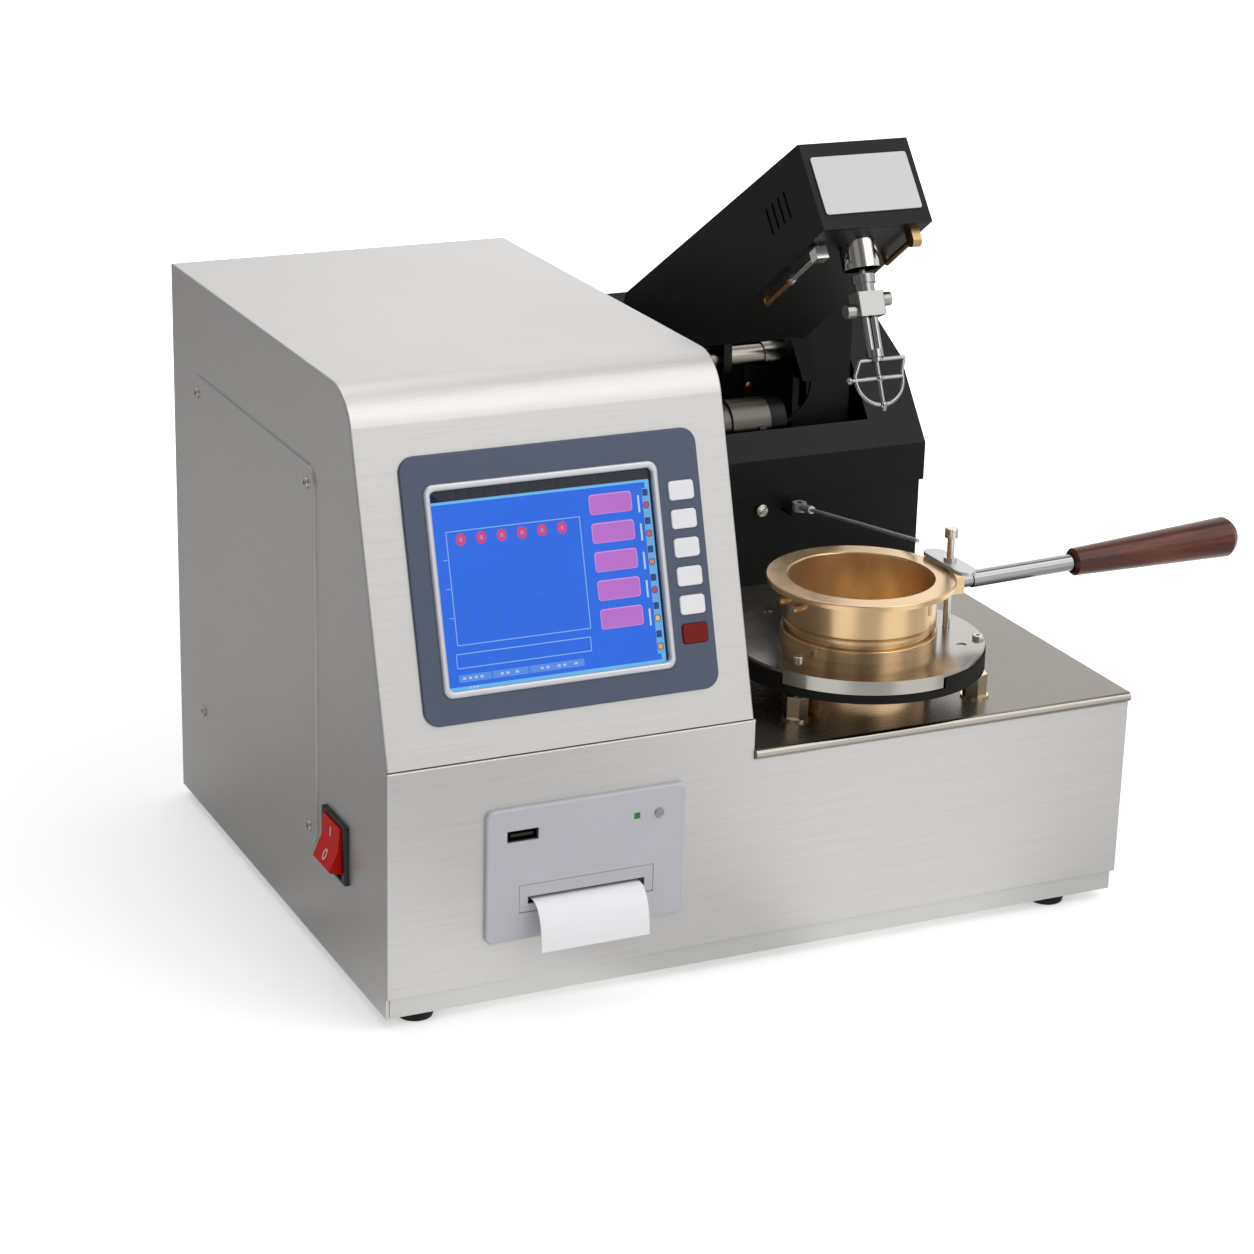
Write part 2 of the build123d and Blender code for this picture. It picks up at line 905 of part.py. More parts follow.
def make_key(up):
    """One key with its cap, its flange behind the bezel and its stem."""
    with BuildPart() as key:
        with BuildSketch(panel_plane.offset(key_proud)):
            with Locations((key_x, up)):
                RectangleRounded(key_width, key_length, key_corner)
        extrude(amount=-key_proud - glass_recess)
        fillet(key.faces().sort_by(Axis.Y)[0].edges(), radius=key_round)
        with BuildSketch(panel_plane.offset(-glass_recess)):
            with Locations((key_x, up)):
                RectangleRounded(key_width + 2 * key_flange, key_length + 2 * key_flange, key_corner)
        extrude(amount=-key_flange_thick)
        with BuildSketch(panel_plane.offset(-glass_recess)):
            with Locations((key_x, up)):
                Circle(stem_radius)
        extrude(amount=glass_recess - stem_end)
    return key


for number, up in enumerate(key_rows[:key_count], start=1):
    key = make_key(up)
    key.part.label = f"key_{number}"
    export_step(key.part, f"parts/key_{number}.step")

stop_key = make_key(key_rows[-1])
stop_key.part.label = "stop_key"
export_step(stop_key.part, "parts/stop_key.step")

with BuildPart() as display_board:
    with BuildSketch(panel_plane.offset(-board_depth)):
        with Locations((left + board_across, board_up)):
            Rectangle(board_width, board_length)
    extrude(amount=-board_thick)
    with BuildSketch(panel_plane.offset(-board_depth)):
        with Locations(*key_places):
            Rectangle(switch_cap_size, switch_cap_size)
    extrude(amount=switch_cap_height)
    with BuildSketch(panel_plane.offset(-board_depth)):
        with Locations(*[(left + x, up) for x in board_post_across for up in board_post_up]):
            Circle(board_post_radius)
    extrude(amount=board_depth - hood_sheet - seat)
display_board.part.label = "display_board"
export_step(display_board.part, "parts/display_board.step")

# ==== Strip printer ====

usb_place = (left + usb_across, usb_up)
lamp_place = (left + lamp_across, lamp_up)
button_place = (left + button_across, lamp_up)
door_place = (printer_x, door_up)
door_hinge_up = door_up - door_height / 2 + door_hinge_rise
hinge_plane = Plane(
    origin=(printer_x, front - door_hinge_out, base + door_hinge_up), x_dir=(0, 1, 0), z_dir=(1, 0, 0)
)
with BuildPart() as printer_panel:
    with BuildSketch(front_plane):
        with Locations((printer_x, printer_up)):
            RectangleRounded(printer_width, printer_height, printer_corner)
    extrude(amount=printer_thick)
    fillet(printer_panel.faces().sort_by(Axis.Y)[0].edges(), radius=printer_round)
    with BuildSketch(front_plane):
        with Locations((printer_x, printer_up)):
            Rectangle(
                printer_width - 2 * printer_opening_margin - 2 * gap,
                printer_height - 2 * printer_opening_margin - 2 * gap,
            )
    extrude(amount=-sheet)
    with BuildSketch(front_plane.offset(-sheet)):
        with Locations(usb_place):
            Rectangle(usb_width, usb_height)
        with Locations(lamp_place):
            Rectangle(lamp_size + 2 * pin_fit, lamp_size + 2 * pin_fit)
        with Locations(button_place):
            Circle(button_radius + pin_fit)
        with Locations(door_place):
            Rectangle(door_width + 2 * gap, door_height + 2 * gap)
    extrude(amount=sheet + printer_thick, mode=Mode.SUBTRACT)
    with BuildSketch(hinge_plane):
        Circle(hinge_radius + pin_fit)
    extrude(amount=door_width / 2 + hinge_pin_reach, both=True, mode=Mode.SUBTRACT)
printer_panel.part.label = "printer_panel"
export_step(printer_panel.part, "parts/printer_panel.step")

with BuildPart() as printer_door:
    with BuildSketch(front_plane.offset(printer_thick - door_sink - door_thick)):
        with Locations(door_place):
            Rectangle(door_width, door_height)
        with Locations((printer_x, slot_up)):
            Rectangle(slot_width, slot_height, mode=Mode.SUBTRACT)
    extrude(amount=door_thick)
    fillet(printer_door.edges().filter_by(Axis.X).sort_by(Axis.Z)[:2], radius=door_round)
    with BuildSketch(hinge_plane):
        Circle(hinge_radius)
    extrude(amount=door_width / 2 + hinge_pin_reach - gap, both=True)
printer_door.part.label = "printer_door"
export_step(printer_door.part, "parts/printer_door.step")

with BuildPart() as feed_button:
    with BuildSketch(front_plane.offset(printer_thick + button_proud)):
        with Locations(button_place):
            Circle(button_radius)
    extrude(amount=-printer_thick - button_proud - sheet - key_clearance)
    fillet(feed_button.faces().sort_by(Axis.Y)[0].edges(), radius=button_proud / 2)
    with BuildSketch(front_plane.offset(-sheet - key_clearance)):
        with Locations(button_place):
            Circle(button_radius + button_flange)
    extrude(amount=-button_flange_thick)
feed_button.part.label = "feed_button"
export_step(feed_button.part, "parts/feed_button.step")

with BuildPart() as status_lamp:
    with BuildSketch(front_plane.offset(-sheet)):
        with Locations(lamp_place):
            Rectangle(lamp_size, lamp_size)
    extrude(amount=sheet + printer_thick + seat)
status_lamp.part.label = "status_lamp"
export_step(status_lamp.part, "parts/status_lamp.step")

with BuildPart() as usb_socket:
    with BuildSketch(front_plane.offset(printer_thick - usb_sink)):
        with Locations(usb_place):
            Rectangle(usb_width - gap, usb_height - gap)
            Rectangle(usb_width - gap - 2 * usb_wall, usb_height - gap - 2 * usb_wall, mode=Mode.SUBTRACT)
    extrude(amount=-usb_depth)
    with BuildSketch(front_plane.offset(printer_thick - usb_sink - usb_depth)):
        with Locations(usb_place):
            Rectangle(usb_width - gap, usb_height - gap)
    extrude(amount=usb_wall)
    with BuildSketch(front_plane.offset(printer_thick - usb_sink - usb_depth)):
        with Locations(usb_place):
            Rectangle(usb_tongue_width, usb_tongue_thick)
    extrude(amount=usb_depth - usb_wall)
usb_socket.part.label = "usb_socket"
export_step(usb_socket.part, "parts/usb_socket.step")

cheek_fore = front + sheet + seat
spindle_place = (front + roll_back, base + roll_up)
strip_up = base + slot_up
platen_place = (front + platen_back, strip_up + paper_thick / 2 + platen_radius + key_clearance)
with BuildPart() as printer_frame:
    with BuildSketch(Plane.XY.offset(base + cheek_low)):
        with Locations((printer_x, cheek_fore + cheek_depth / 2)):
            Rectangle(cheek_spacing + 2 * cheek_thick, cheek_depth)
    extrude(amount=cheek_high - cheek_low)
    with BuildSketch(Plane.XY.offset(base + cheek_low + cheek_thick)):
        with Locations((printer_x, cheek_fore + cheek_depth / 2)):
            Rectangle(cheek_spacing, cheek_depth)
    extrude(amount=cheek_high, mode=Mode.SUBTRACT)
    with BuildSketch(Plane.YZ.offset(printer_x)):
        with Locations(platen_place):
            Circle(platen_shaft_radius + pin_fit)
    extrude(amount=cheek_spacing, both=True, mode=Mode.SUBTRACT)
    with BuildSketch(Plane.YZ.offset(printer_x)):
        with Locations(spindle_place):
            Circle(spindle_radius)
        with Locations((platen_place[0], strip_up - paper_thick / 2 - gap - head_bar_height / 2)):
            Rectangle(head_bar_depth, head_bar_height)
    extrude(amount=cheek_spacing / 2, both=True)
printer_frame.part.label = "printer_frame"
export_step(printer_frame.part, "parts/printer_frame.step")

with BuildPart() as paper_roll:
    with BuildSketch(Plane.YZ.offset(printer_x)):
        with Locations(spindle_place):
            Circle(roll_radius)
            Circle(spindle_radius + pin_fit, mode=Mode.SUBTRACT)
    extrude(amount=roll_width / 2, both=True)
paper_roll.part.label = "paper_roll"
export_step(paper_roll.part, "parts/paper_roll.step")

with BuildPart() as platen_roller:
    with BuildSketch(Plane.YZ.offset(printer_x)):
        with Locations(platen_place):
            Circle(platen_radius)
    extrude(amount=roll_width / 2, both=True)
    with BuildSketch(Plane.YZ.offset(printer_x)):
        with Locations(platen_place):
            Circle(platen_shaft_radius)
    extrude(amount=cheek_spacing / 2 + cheek_thick, both=True)
platen_roller.part.label = "platen_roller"
export_step(platen_roller.part, "parts/platen_roller.step")

strip_fore = front - printer_thick
strip_aft = platen_place[0] + head_bar_depth / 2
strip_rise = hypot(spindle_place[0] - strip_aft, spindle_place[1] - strip_up)
wrap_radius = roll_radius + paper_thick
sight_angle = atan2(spindle_place[1] - strip_up, spindle_place[0] - strip_aft)
wrap_angle = sight_angle - asin(wrap_radius / strip_rise)
wrap_length = sqrt(strip_rise**2 - wrap_radius**2)
wrap_place = (strip_aft + wrap_length * cos(wrap_angle), strip_up + wrap_length * sin(wrap_angle))
paper_end = (front - paper_reach, base + paper_end_up)
with BuildPart() as paper_strip:
    with BuildSketch(Plane.YZ.offset(printer_x - paper_width / 2)):
        with BuildLine() as paper_path:
            Polyline(wrap_place, (strip_aft, strip_up), (strip_fore, strip_up))
            Bezier(
                (strip_fore, strip_up),
                (strip_fore - paper_curl, strip_up),
                (paper_end[0] + paper_lean, (strip_up + paper_end[1]) / 2),
                paper_end,
            )
        trace(paper_path.line, line_width=paper_thick)
    extrude(amount=paper_width)
paper_strip.part.label = "paper_strip"
export_step(paper_strip.part, "parts/paper_strip.step")

# ==== Mains inlet and power supply ====

with BuildPart() as mains_inlet:
    with BuildSketch(rear_plane):
        with Locations(inlet_place):
            RectangleRounded(inlet_width, inlet_height, inlet_corner)
    extrude(amount=inlet_flange)
    with BuildSketch(rear_plane):
        with Locations(inlet_place):
            Rectangle(inlet_mouth_width + 2 * inlet_wall, inlet_mouth_height + 2 * inlet_wall)
    extrude(amount=-inlet_depth)
    with BuildSketch(rear_plane.offset(inlet_floor - inlet_depth)):
        with Locations(inlet_place):
            Rectangle(inlet_mouth_width, inlet_mouth_height)
    extrude(amount=inlet_depth + inlet_flange - inlet_floor, mode=Mode.SUBTRACT)
    side_pin_drop = -inlet_pin_rise / 2
    with BuildSketch(rear_plane.offset(inlet_floor - inlet_depth)):
        with Locations(inlet_place):
            with Locations(
                (0, inlet_pin_rise), (-inlet_pin_spacing, side_pin_drop), (inlet_pin_spacing, side_pin_drop)
            ):
                Rectangle(inlet_pin_width, inlet_pin_length)
    extrude(amount=inlet_pin_reach)
mains_inlet.part.label = "mains_inlet"
export_step(mains_inlet.part, "parts/mains_inlet.step")

supply_place = (left + supply_across, front + supply_back)
with BuildPart() as power_supply:
    with BuildSketch(Plane.XY.offset(base + sheet)):
        with Locations(supply_place):
            Rectangle(supply_width, supply_depth)
    extrude(amount=supply_height)
    fillet(power_supply.edges().filter_by(Axis.Z), radius=2)
    with BuildSketch(Plane.XY.offset(base + sheet + supply_height)):
        with Locations(supply_place):
            with GridLocations(vent_pitch, 1, supply_vent_count, 1):
                SlotOverall(vent_length, vent_width, rotation=90)
    extrude(amount=-sheet, mode=Mode.SUBTRACT)
power_supply.part.label = "power_supply"
export_step(power_supply.part, "parts/power_supply.step")

# ==== Cup stage ====

heater_top = deck_top + heater_height
insulator_top = heater_top + insulator_thick
plate_low = insulator_top + seat
plate_top = plate_low + plate_thick
pin_place = (cup_x + pin_out, cup_y + pin_side)


def apron_wedge(spread):
    """Corners of a wedge from the cup's centre that takes in the apron and a spread on each side."""
    reach = 2 * plate_radius
    middle = apron_from + apron_sweep / 2
    angles = [apron_from - spread, middle, apron_from + apron_sweep + spread]
    return [(0, 0)] + [(reach * cos(radians(a)), reach * sin(radians(a))) for a in angles]


with BuildPart() as heater_block:
    with BuildSketch(Plane.XY.offset(deck_top)):
        with Locations((cup_x, cup_y)):
            Circle(heater_radius)
    extrude(amount=heater_height)
    with BuildSketch(Plane.XY.offset(deck_top)):
        with Locations((cup_x, cup_y)):
            Circle(wire_hole_radius)
    extrude(amount=heater_recess, mode=Mode.SUBTRACT)
    with BuildSketch(Plane.XY.offset(heater_top)):
        with Locations((cup_x, cup_y)):
            Circle(heater_radius - heater_wall)
    extrude(amount=insulator_thick)
heater_block.part.label = "heater_block"
export_step(heater_block.part, "parts/heater_block.step")

with BuildPart() as insulating_disc:
    with BuildSketch(Plane.XY.offset(heater_top)):
        with Locations((cup_x, cup_y)):
            Circle(insulator_radius)
            Circle(heater_radius - heater_wall + gap, mode=Mode.SUBTRACT)
        with Locations(*stud_centres):
            Circle(stud_radius + pin_fit, mode=Mode.SUBTRACT)
        with Locations(pin_place):
            Circle(pin_radius + pin_hole_gap, mode=Mode.SUBTRACT)
    extrude(amount=insulator_thick)
    with BuildSketch(Plane.XY.offset(plate_low - apron_height - gap)):
        with Locations((cup_x, cup_y)):
            Polygon(*apron_wedge(1), align=None)
            Circle(plate_radius - apron_thick - apron_relief, mode=Mode.SUBTRACT)
    extrude(amount=insulator_thick, mode=Mode.SUBTRACT)
insulating_disc.part.label = "insulating_disc"
export_step(insulating_disc.part, "parts/insulating_disc.step")

with BuildPart() as hot_plate:
    with BuildSketch(Plane.XY.offset(plate_low)):
        with Locations((cup_x, cup_y)):
            Circle(plate_radius)
        with Locations(*stud_centres):
            Circle(stud_radius + pin_fit, mode=Mode.SUBTRACT)
        with Locations(pin_place):
            Circle(pin_radius + pin_hole_gap, mode=Mode.SUBTRACT)
    extrude(amount=plate_thick)
    with BuildSketch(Plane.XY.offset(plate_low)):
        with Locations((cup_x, cup_y)):
            Polygon(*apron_wedge(0), align=None)
            Circle(plate_radius, mode=Mode.INTERSECT)
            Circle(plate_radius - apron_thick, mode=Mode.SUBTRACT)
    extrude(amount=-apron_height)
    with BuildSketch(Plane.XY.offset(plate_top)):
        with Locations((cup_x, cup_y)):
            with Locations(*dimple_places):
                Circle(dimple_radius)
    extrude(amount=-dimple_depth, mode=Mode.SUBTRACT)
hot_plate.part.label = "hot_plate"
export_step(hot_plate.part, "parts/hot_plate.step")

with BuildPart() as plate_collar:
    with BuildSketch(Plane.XY.offset(plate_top)):
        with Locations((cup_x, cup_y)):
            Circle(collar_radius)
            Circle(collar_bore_radius, mode=Mode.SUBTRACT)
    extrude(amount=collar_height)
    fillet(plate_collar.faces().sort_by(Axis.Z)[-1].edges(), radius=collar_round)
plate_collar.part.label = "plate_collar"
export_step(plate_collar.part, "parts/plate_collar.step")

with BuildPart() as standoff_studs:
    with BuildSketch(Plane.XY.offset(deck_top - deck_sheet)):
        with Locations(*stud_centres):
            Circle(stud_radius)
    extrude(amount=plate_top - deck_top + deck_sheet)
    with BuildSketch(Plane.XY.offset(plate_top)):
        with Locations(*stud_centres):
            Circle(stud_head_radius)
    extrude(amount=stud_head_height)
    fillet(standoff_studs.faces().sort_by(Axis.Z)[-3:].edges(), radius=stud_head_round)
    with BuildSketch(Plane.XY.offset(plate_top + stud_head_height)):
        with Locations(*stud_centres):
            RegularPolygon(stud_socket_radius, 6)
    extrude(amount=-stud_socket_depth, mode=Mode.SUBTRACT)
standoff_studs.part.label = "standoff_studs"
export_step(standoff_studs.part, "parts/standoff_studs.step")

with BuildPart() as standoff_nuts:
    with BuildSketch(Plane.XY.offset(deck_top)):
        with Locations(*stud_centres):
            Circle(washer_radius)
            Circle(stud_radius + pin_fit, mode=Mode.SUBTRACT)
    extrude(amount=washer_thick)
    with BuildSketch(Plane.XY.offset(deck_top + washer_thick)):
        with Locations(*stud_centres):
            RegularPolygon(nut_radius, 6, rotation=nut_turn)
            Circle(stud_radius + pin_fit, mode=Mode.SUBTRACT)
    extrude(amount=nut_height)
standoff_nuts.part.label = "standoff_nuts"
export_step(standoff_nuts.part, "parts/standoff_nuts.step")

# ==== Test cup, handle, pin and latch ====

cup_base = plate_top + seat
cup_rim = cup_base + cup_height
cup_plane = Plane(origin=(cup_x, cup_y, cup_base), x_dir=(1, 0, 0), z_dir=(0, -1, 0))
handle_axis_up = cup_base + handle_up
lug_end = cup_x + lug_start + lug_length
groove_low = cup_groove_up - cup_groove_width / 2
groove_high = cup_groove_up + cup_groove_width / 2
with BuildPart() as test_cup:
    with BuildSketch(cup_plane):
        with BuildLine():
            Polyline(
                (0, 0),
                (cup_neck_radius - cup_foot_chamfer, 0),
                (cup_neck_radius, cup_foot_chamfer),
                (cup_neck_radius, cup_neck_height),
                (cup_wall_radius, cup_neck_height),
                (cup_wall_radius, groove_low),
                (cup_wall_radius - cup_groove_depth, cup_groove_up),
                (cup_wall_radius, groove_high),
                (cup_wall_radius, cup_height - cup_flange_thick),
                (cup_flange_radius, cup_height - cup_flange_thick),
                (cup_flange_radius, cup_height),
                (cup_bore_radius, cup_height),
                (cup_floor_radius, cup_floor_thick + cup_floor_corner),
                (cup_floor_radius - cup_floor_corner, cup_floor_thick),
                (0, cup_floor_thick),
                close=True,
            )
        make_face()
    revolve(axis=Axis((cup_x, cup_y, 0), (0, 0, 1)))
    fillet(test_cup.edges().group_by(Axis.Z)[-1], radius=cup_rim_round)
    with BuildSketch(Plane.XY.offset(handle_axis_up - lug_height / 2)):
        with Locations((cup_x + lug_start + lug_length / 2, cup_y)):
            Rectangle(lug_length, lug_width)
    extrude(amount=lug_height)
    for turn in cup_boss_angles:
        outward = (cos(radians(turn)), sin(radians(turn)), 0)
        boss_root = (
            cup_x + cup_bore_radius * outward[0],
            cup_y + cup_bore_radius * outward[1],
            handle_axis_up,
        )
        with BuildSketch(Plane(origin=boss_root, x_dir=(0, 0, 1), z_dir=outward)):
            Circle(cup_boss_radius)
        extrude(amount=cup_wall_radius - cup_bore_radius + cup_boss_length)
    with BuildSketch(Plane.XY.offset(cup_rim - cup_flange_thick)):
        with Locations((cup_x, cup_y)):
            with PolarLocations(cup_wall_radius, 1, start_angle=cup_bead_angle):
                Circle(cup_bead_radius)
    extrude(amount=-cup_bead_length)
    with BuildSketch(Plane.XY.offset(handle_axis_up)):
        with Locations(pin_place):
            Circle(pin_radius + pin_fit)
    extrude(amount=lug_height, both=True, mode=Mode.SUBTRACT)
    with BuildSketch(Plane.XY.offset(cup_base + cup_height - cup_flange_thick)):
        with Locations(pin_place):
            Circle(flange_notch_radius)
    extrude(amount=cup_flange_thick, mode=Mode.SUBTRACT)
    with BuildSketch(Plane.YZ.offset(lug_end)):
        with Locations((cup_y, handle_axis_up)):
            Circle(handle_stud_radius + pin_fit)
    extrude(amount=-handle_stud_length - gap, mode=Mode.SUBTRACT)
test_cup.part.label = "test_cup"
export_step(test_cup.part, "parts/test_cup.step")

rise = radians(handle_rise)
handle_start = (lug_end, cup_y, handle_axis_up)
handle_plane = Plane(origin=handle_start, x_dir=(0, -1, 0), z_dir=(cos(rise), 0, sin(rise)))
grip_station = handle_collar_length + handle_rod_length
with BuildPart() as handle_rod:
    with BuildSketch(Plane.YZ.offset(lug_end)):
        with Locations((cup_y, handle_axis_up)):
            Circle(handle_stud_radius)
    extrude(amount=-handle_stud_length)
    with BuildSketch(handle_plane.offset(handle_collar_start)):
        Circle(handle_collar_radius)
    extrude(amount=handle_collar_length)
    with BuildSketch(Plane.YZ.offset(lug_end)):
        with Locations((cup_y, handle_axis_up)):
            Circle(handle_stud_radius)
    extrude(amount=handle_collar_length / 2)
    with BuildSketch(handle_plane.offset(handle_collar_length)):
        Circle(handle_rod_radius)
    extrude(amount=handle_rod_length + grip_bore_length)
handle_rod.part.label = "handle_rod"
export_step(handle_rod.part, "parts/handle_rod.step")

grip_plane = Plane(
    origin=handle_plane.origin + handle_plane.z_dir * grip_station,
    x_dir=handle_plane.z_dir,
    z_dir=(0, -1, 0),
)
dome_radius = (grip_end_radius**2 + grip_dome**2) / (2 * grip_dome)
dome_turn = asin(grip_end_radius / dome_radius) / 2
dome_middle = (grip_length - dome_radius * (1 - cos(dome_turn)), dome_radius * sin(dome_turn))
with BuildPart() as handle_grip:
    with BuildSketch(grip_plane):
        with BuildLine():
            Polyline(
                (grip_length, 0),
                (0, 0),
                (0, grip_start_radius - grip_nose),
                (grip_nose, grip_start_radius),
                (grip_length - grip_dome, grip_end_radius),
            )
            ThreePointArc((grip_length - grip_dome, grip_end_radius), dome_middle, (grip_length, 0))
        make_face()
    revolve(axis=Axis(grip_plane.origin, grip_plane.x_dir))
    with BuildSketch(handle_plane.offset(grip_station)):
        Circle(handle_rod_radius + pin_fit)
    extrude(amount=grip_bore_length + gap, mode=Mode.SUBTRACT)
handle_grip.part.label = "handle_grip"
export_step(handle_grip.part, "parts/handle_grip.step")

shoulder_low = cup_rim + gap
latch_low = shoulder_low + pin_shoulder_thick + seat
latch_nut_low = latch_low + latch_thick + seat
with BuildPart() as locating_pin:
    with BuildSketch(Plane.XY.offset(plate_top - pin_sink)):
        with Locations(pin_place):
            Circle(pin_radius)
    extrude(amount=pin_top + pin_sink)
    with BuildSketch(Plane.XY.offset(plate_top + pin_top - pin_head_height)):
        with Locations(pin_place):
            Circle(pin_head_radius)
    extrude(amount=pin_head_height)
    fillet(locating_pin.faces().sort_by(Axis.Z)[-1].edges(), radius=pin_head_round)
    with BuildSketch(Plane.XY.offset(shoulder_low)):
        with Locations(pin_place):
            Circle(pin_shoulder_radius)
    extrude(amount=pin_shoulder_thick)
    with BuildSketch(Plane.XY.offset(latch_nut_low)):
        with Locations(pin_place):
            Circle(latch_nut_radius)
    extrude(amount=latch_nut_height)
locating_pin.part.label = "locating_pin"
export_step(locating_pin.part, "parts/locating_pin.step")

with BuildPart() as latch_plate:
    with BuildSketch(Plane.XY.offset(latch_low)):
        with Locations(pin_place):
            SlotOverall(latch_length, latch_width, rotation=90)
            Circle(pin_radius + pin_fit, mode=Mode.SUBTRACT)
    extrude(amount=latch_thick)
    fillet(latch_plate.faces().sort_by(Axis.Z)[-1].outer_wire().edges(), radius=latch_round)
latch_plate.part.label = "latch_plate"
export_step(latch_plate.part, "parts/latch_plate.step")

# ==== Tower behind the cup, with the ignition rod in front ====


def side(back, up):
    """Place back and up, seen from the side of the body."""
    return (front + back, base + up)


base_left = deck_left + sheet + tower_lap
base_right = right - sheet - tower_lap
base_front = front + tower_front + sheet + tower_lap
base_rear = rear - sheet - tower_lap
base_size = (base_right - base_left, base_rear - base_front)
base_centre = ((base_left + base_right) / 2, (base_front + base_rear) / 2)
tower_base_top = base + tower_lip_low + tower_lap_height
rod_place = (housing_right + rod_beyond, front + rod_back)
rod_low = base + rod_up
lug_front = front + rod_lug_back
with BuildPart() as tower_base:
    with BuildSketch(Plane.XY.offset(deck_top)):
        with Locations(base_centre):
            Rectangle(*base_size)
            Rectangle(base_size[0] - 2 * sheet, base_size[1] - 2 * sheet, mode=Mode.SUBTRACT)
    extrude(amount=tower_base_top - deck_top)
    with BuildSketch(Plane.XY.offset(rod_low - seat - rod_lug_thick)):
        with Locations((rod_place[0], (lug_front + base_front) / 2)):
            Rectangle(2 * rod_lug_half_width, base_front - lug_front)
    extrude(amount=rod_lug_thick)
    with BuildSketch(Plane.XY.offset(rod_low - seat)):
        with Locations(rod_place):
            Circle(rod_pin_radius)
    extrude(amount=rod_hub_height + 2 * seat)
    with BuildSketch(Plane(origin=(0, base_front, base), x_dir=(1, 0, 0), z_dir=(0, -1, 0))):
        with Locations((housing_right + tower_screw_beyond, tower_screw_up)):
            Circle(tower_screw_radius)
            Rectangle(
                2 * tower_screw_radius, tower_screw_slot, rotation=tower_screw_turn, mode=Mode.SUBTRACT
            )
    extrude(amount=tower_screw_height)
tower_base.part.label = "tower_base"
export_step(tower_base.part, "parts/tower_base.step")

with BuildPart() as tower_cover:
    with BuildSketch(Plane.YZ.offset(deck_left)):
        with BuildLine():
            Polyline(
                side(tower_front, tower_lip_low),
                side(tower_front, tower_lip_high),
                side(tower_bend_back, tower_bend_up),
                (rear, base + tower_rear_up),
                (rear, base + tower_lip_low),
                close=True,
            )
        make_face()
    extrude(amount=right - deck_left)
    upper_edges = tower_cover.edges().filter_by(Axis.X).sort_by(Axis.Z)[2:]
    fillet(upper_edges, radius=head_edge_radius)
    with BuildSketch(Plane.YZ.offset(deck_left + sheet)):
        with BuildLine():
            Polyline(
                side(tower_front + sheet, tower_lip_low),
                side(tower_front + sheet, tower_lip_high - sheet / 2),
                side(tower_bend_back + sheet / 2, tower_bend_up - sheet),
                (rear - sheet, base + tower_rear_up - 2 * sheet),
                (rear - sheet, base + tower_lip_low),
                close=True,
            )
        make_face()
    extrude(amount=right - deck_left - 2 * sheet, mode=Mode.SUBTRACT)
    with BuildSketch(Plane.XY.offset(base + tower_lip_high)):
        with Locations((housing_right + opening_left, front + opening_front)):
            Rectangle(opening_right - opening_left, opening_rear - opening_front, align=Align.MIN)
    extrude(amount=tower_rear_up - tower_lip_high, mode=Mode.SUBTRACT)
tower_cover.part.label = "tower_cover"
export_step(tower_cover.part, "parts/tower_cover.step")

rod_centre = Vector(rod_place[0], rod_place[1], rod_low + rod_hub_height / 2)
rod_tip = Vector(housing_right + rod_tip_beyond, front + rod_tip_back, base + rod_tip_up)
rod_direction = (rod_tip - rod_centre).normalized()
rod_plane = Plane(origin=rod_centre, x_dir=(1, 0, 0), z_dir=rod_direction)
with BuildPart() as ignition_rod:
    with BuildSketch(Plane.XY.offset(rod_low)):
        with Locations(rod_place):
            Circle(rod_hub_radius)
    extrude(amount=rod_hub_height)
    with BuildSketch(rod_plane):
        Circle(rod_thick_radius)
    extrude(amount=rod_thick_length)
    with BuildSketch(rod_plane):
        Circle(rod_thin_radius)
    extrude(amount=(rod_tip - rod_centre).length)
    with BuildSketch(Plane.XY.offset(rod_low)):
        with Locations(rod_place):
            Circle(rod_pin_radius + pin_fit)
    extrude(amount=rod_hub_height, mode=Mode.SUBTRACT)
ignition_rod.part.label = "ignition_rod"
export_step(ignition_rod.part, "parts/ignition_rod.step")

# ==== Lift drive inside the tower ====

